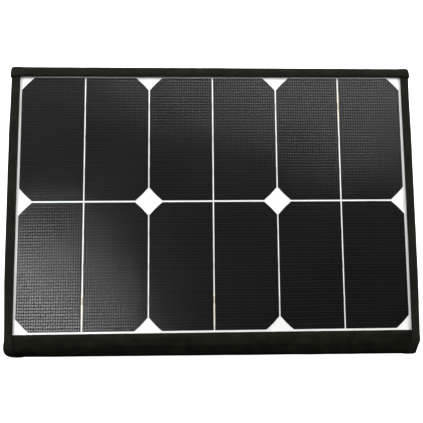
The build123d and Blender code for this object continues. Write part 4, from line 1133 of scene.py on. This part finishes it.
def build_screws():
    """Cover screws at the controller's corners and a clamp screw in each terminal's well."""
    low, high = box_mm("controller_cover")
    cx, cy, face = (low[0] + high[0]) / 2, (low[1] + high[1]) / 2, low[2]
    places = [("case_screw", cx + sx * CASE_SCREWS[0], cy + sy * CASE_SCREWS[1], face, CASE_SCREW, 2)
              for sx, sy in product((-1, 1), repeat=2)]
    places += [("clamp_screw", cx + x, cy + CLAMP_Y, face + CLAMP_DEPTH, CLAMP_SCREW, 1)
               for x in CLAMP_PLACES]
    for n, (kind, x, y, z, size, slots) in enumerate(places):
        obj = screw(f"{kind}_{n + 1}", x, y, z, size, slots)
        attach(obj, "panel_a")


dress_cad()
build_cloth()
build_tapes()
build_folds_inside()
build_closure()
build_pocket()
build_screws()


# ------------ floor, light and camera
FLOOR_Z = -0.3
DOME_RADIUS = 6000.0
DOME_RINGS, DOME_SIDES = 8, 48
GLOW = 0.95  # of the backdrop, which lights nothing itself
LIGHT_TARGET = (0.0, 0.0, 0.04)  # in metres, and so are the lights' sizes and distance
LIGHT_DISTANCE = 1.7
WORLD_STRENGTH = 0.05
LIGHTS = {  # azimuth from +X towards +Y and tilt from straight up, in degrees, then size and power in watts
    "box_left": (138, 60, (1.3, 0.8), 27.0), "box_right": (42, 60, (1.3, 0.8), 25.0),
    "box_far": (90, 62, (1.3, 0.8), 12.0), "box_top": (90, 12, (0.9, 0.9), 6.5),
    "card_left": (208, 31, (0.95, 0.65), 24.0), "card_far": (73, 31, (1.7, 0.65), 15.0),
}


def backdrop():
    """White studio: a floor, and a dome round it that only the camera sees."""
    m = Nodes("studio")
    m.set(Base_Color=colour(0.9, 0.9, 0.9), Roughness=0.9, Specular_IOR_Level=0.0,
          Emission_Color=colour(1, 1, 1), Emission_Strength=GLOW)
    verts = []
    for ring in range(DOME_RINGS + 1):
        lean = 0.5 * pi * ring / DOME_RINGS
        out, up = DOME_RADIUS * cos(lean), DOME_RADIUS * sin(lean)
        turns = [2 * pi * k / DOME_SIDES for k in range(DOME_SIDES)]
        verts += [(out * cos(a), out * sin(a), FLOOR_Z + up) for a in turns]
    middle = len(verts)
    verts.append((0.0, 0.0, FLOOR_Z))
    floor = [(middle, k, (k + 1) % DOME_SIDES) for k in range(DOME_SIDES)]
    for name, faces in (("floor", floor), ("dome", ring_faces(DOME_SIDES, DOME_RINGS + 1))):
        obj = make_object(name, verts, faces, m.material)
        obj.visible_diffuse = False  # no light comes from it
        obj.visible_glossy = False
        obj.visible_shadow = name == "floor"


def area_light(name, azimuth, tilt, size, power):
    """Soft box that faces the target."""
    light = bpy.data.lights.new(name, "AREA")
    light.shape = "RECTANGLE"
    light.size, light.size_y = size
    light.energy = power
    a, t = radians(azimuth), radians(tilt)
    away = Vector((sin(t) * cos(a), sin(t) * sin(a), cos(t)))
    obj = bpy.data.objects.new(name, light)
    obj.location = Vector(LIGHT_TARGET) + away * LIGHT_DISTANCE
    obj.rotation_euler = away.to_track_quat("Z", "Y").to_euler()
    bpy.context.collection.objects.link(obj)
    return obj


def lighting():
    """Three big soft boxes low on the far side light the cloth and the board, and one overhead lights them
    without gloss. Two cards show in gloss only: on the dimples of the lower left-hand cells, and on those of
    the upper right-hand ones."""
    world = bpy.data.worlds.new("studio")
    world.use_nodes = True
    background = world.node_tree.nodes["Background"].inputs
    background["Color"].default_value = colour(1.0, 1.0, 1.0)
    background["Strength"].default_value = WORLD_STRENGTH
    bpy.context.scene.world = world
    for name, row in LIGHTS.items():
        light = area_light(name, *row)
        light.visible_diffuse = name.startswith("box")
        light.visible_glossy = name != "box_top"


CAMERA_FOCUS_PX, FRAME_PX = 400.0, 423.0  # focal length and width of the picture, in its pixels
SENSOR = 36.0
CAMERA_FROM_CELLS = (-11.9, -41.8, 395.8)  # from the middle of the cells' face
CAMERA_RIGHT = (1.000, -0.008, 0.024)  # directions of the picture's right and of the way back from it
CAMERA_BACK = (-0.025, -0.079, 0.997)


def camera():
    """The photograph's camera, fitted to the corners of the cells."""
    data = bpy.data.cameras.new("camera")
    data.sensor_width = SENSOR
    data.lens = SENSOR * CAMERA_FOCUS_PX / FRAME_PX
    data.clip_start = 0.01
    obj = bpy.data.objects.new("camera", data)
    back = Vector(CAMERA_BACK).normalized()
    up = back.cross(Vector(CAMERA_RIGHT).normalized()).normalized()
    right = up.cross(back)
    x, y, z = CAMERA_FROM_CELLS
    obj.matrix_world = Matrix((
        (right.x, up.x, back.x, x * MM), (right.y, up.y, back.y, y * MM),
        (right.z, up.z, back.z, (CELL_TOP + z) * MM), (0, 0, 0, 1)))
    bpy.context.collection.objects.link(obj)
    bpy.context.scene.camera = obj
    bpy.context.scene.view_settings.view_transform = "Standard"


backdrop()
lighting()
camera()
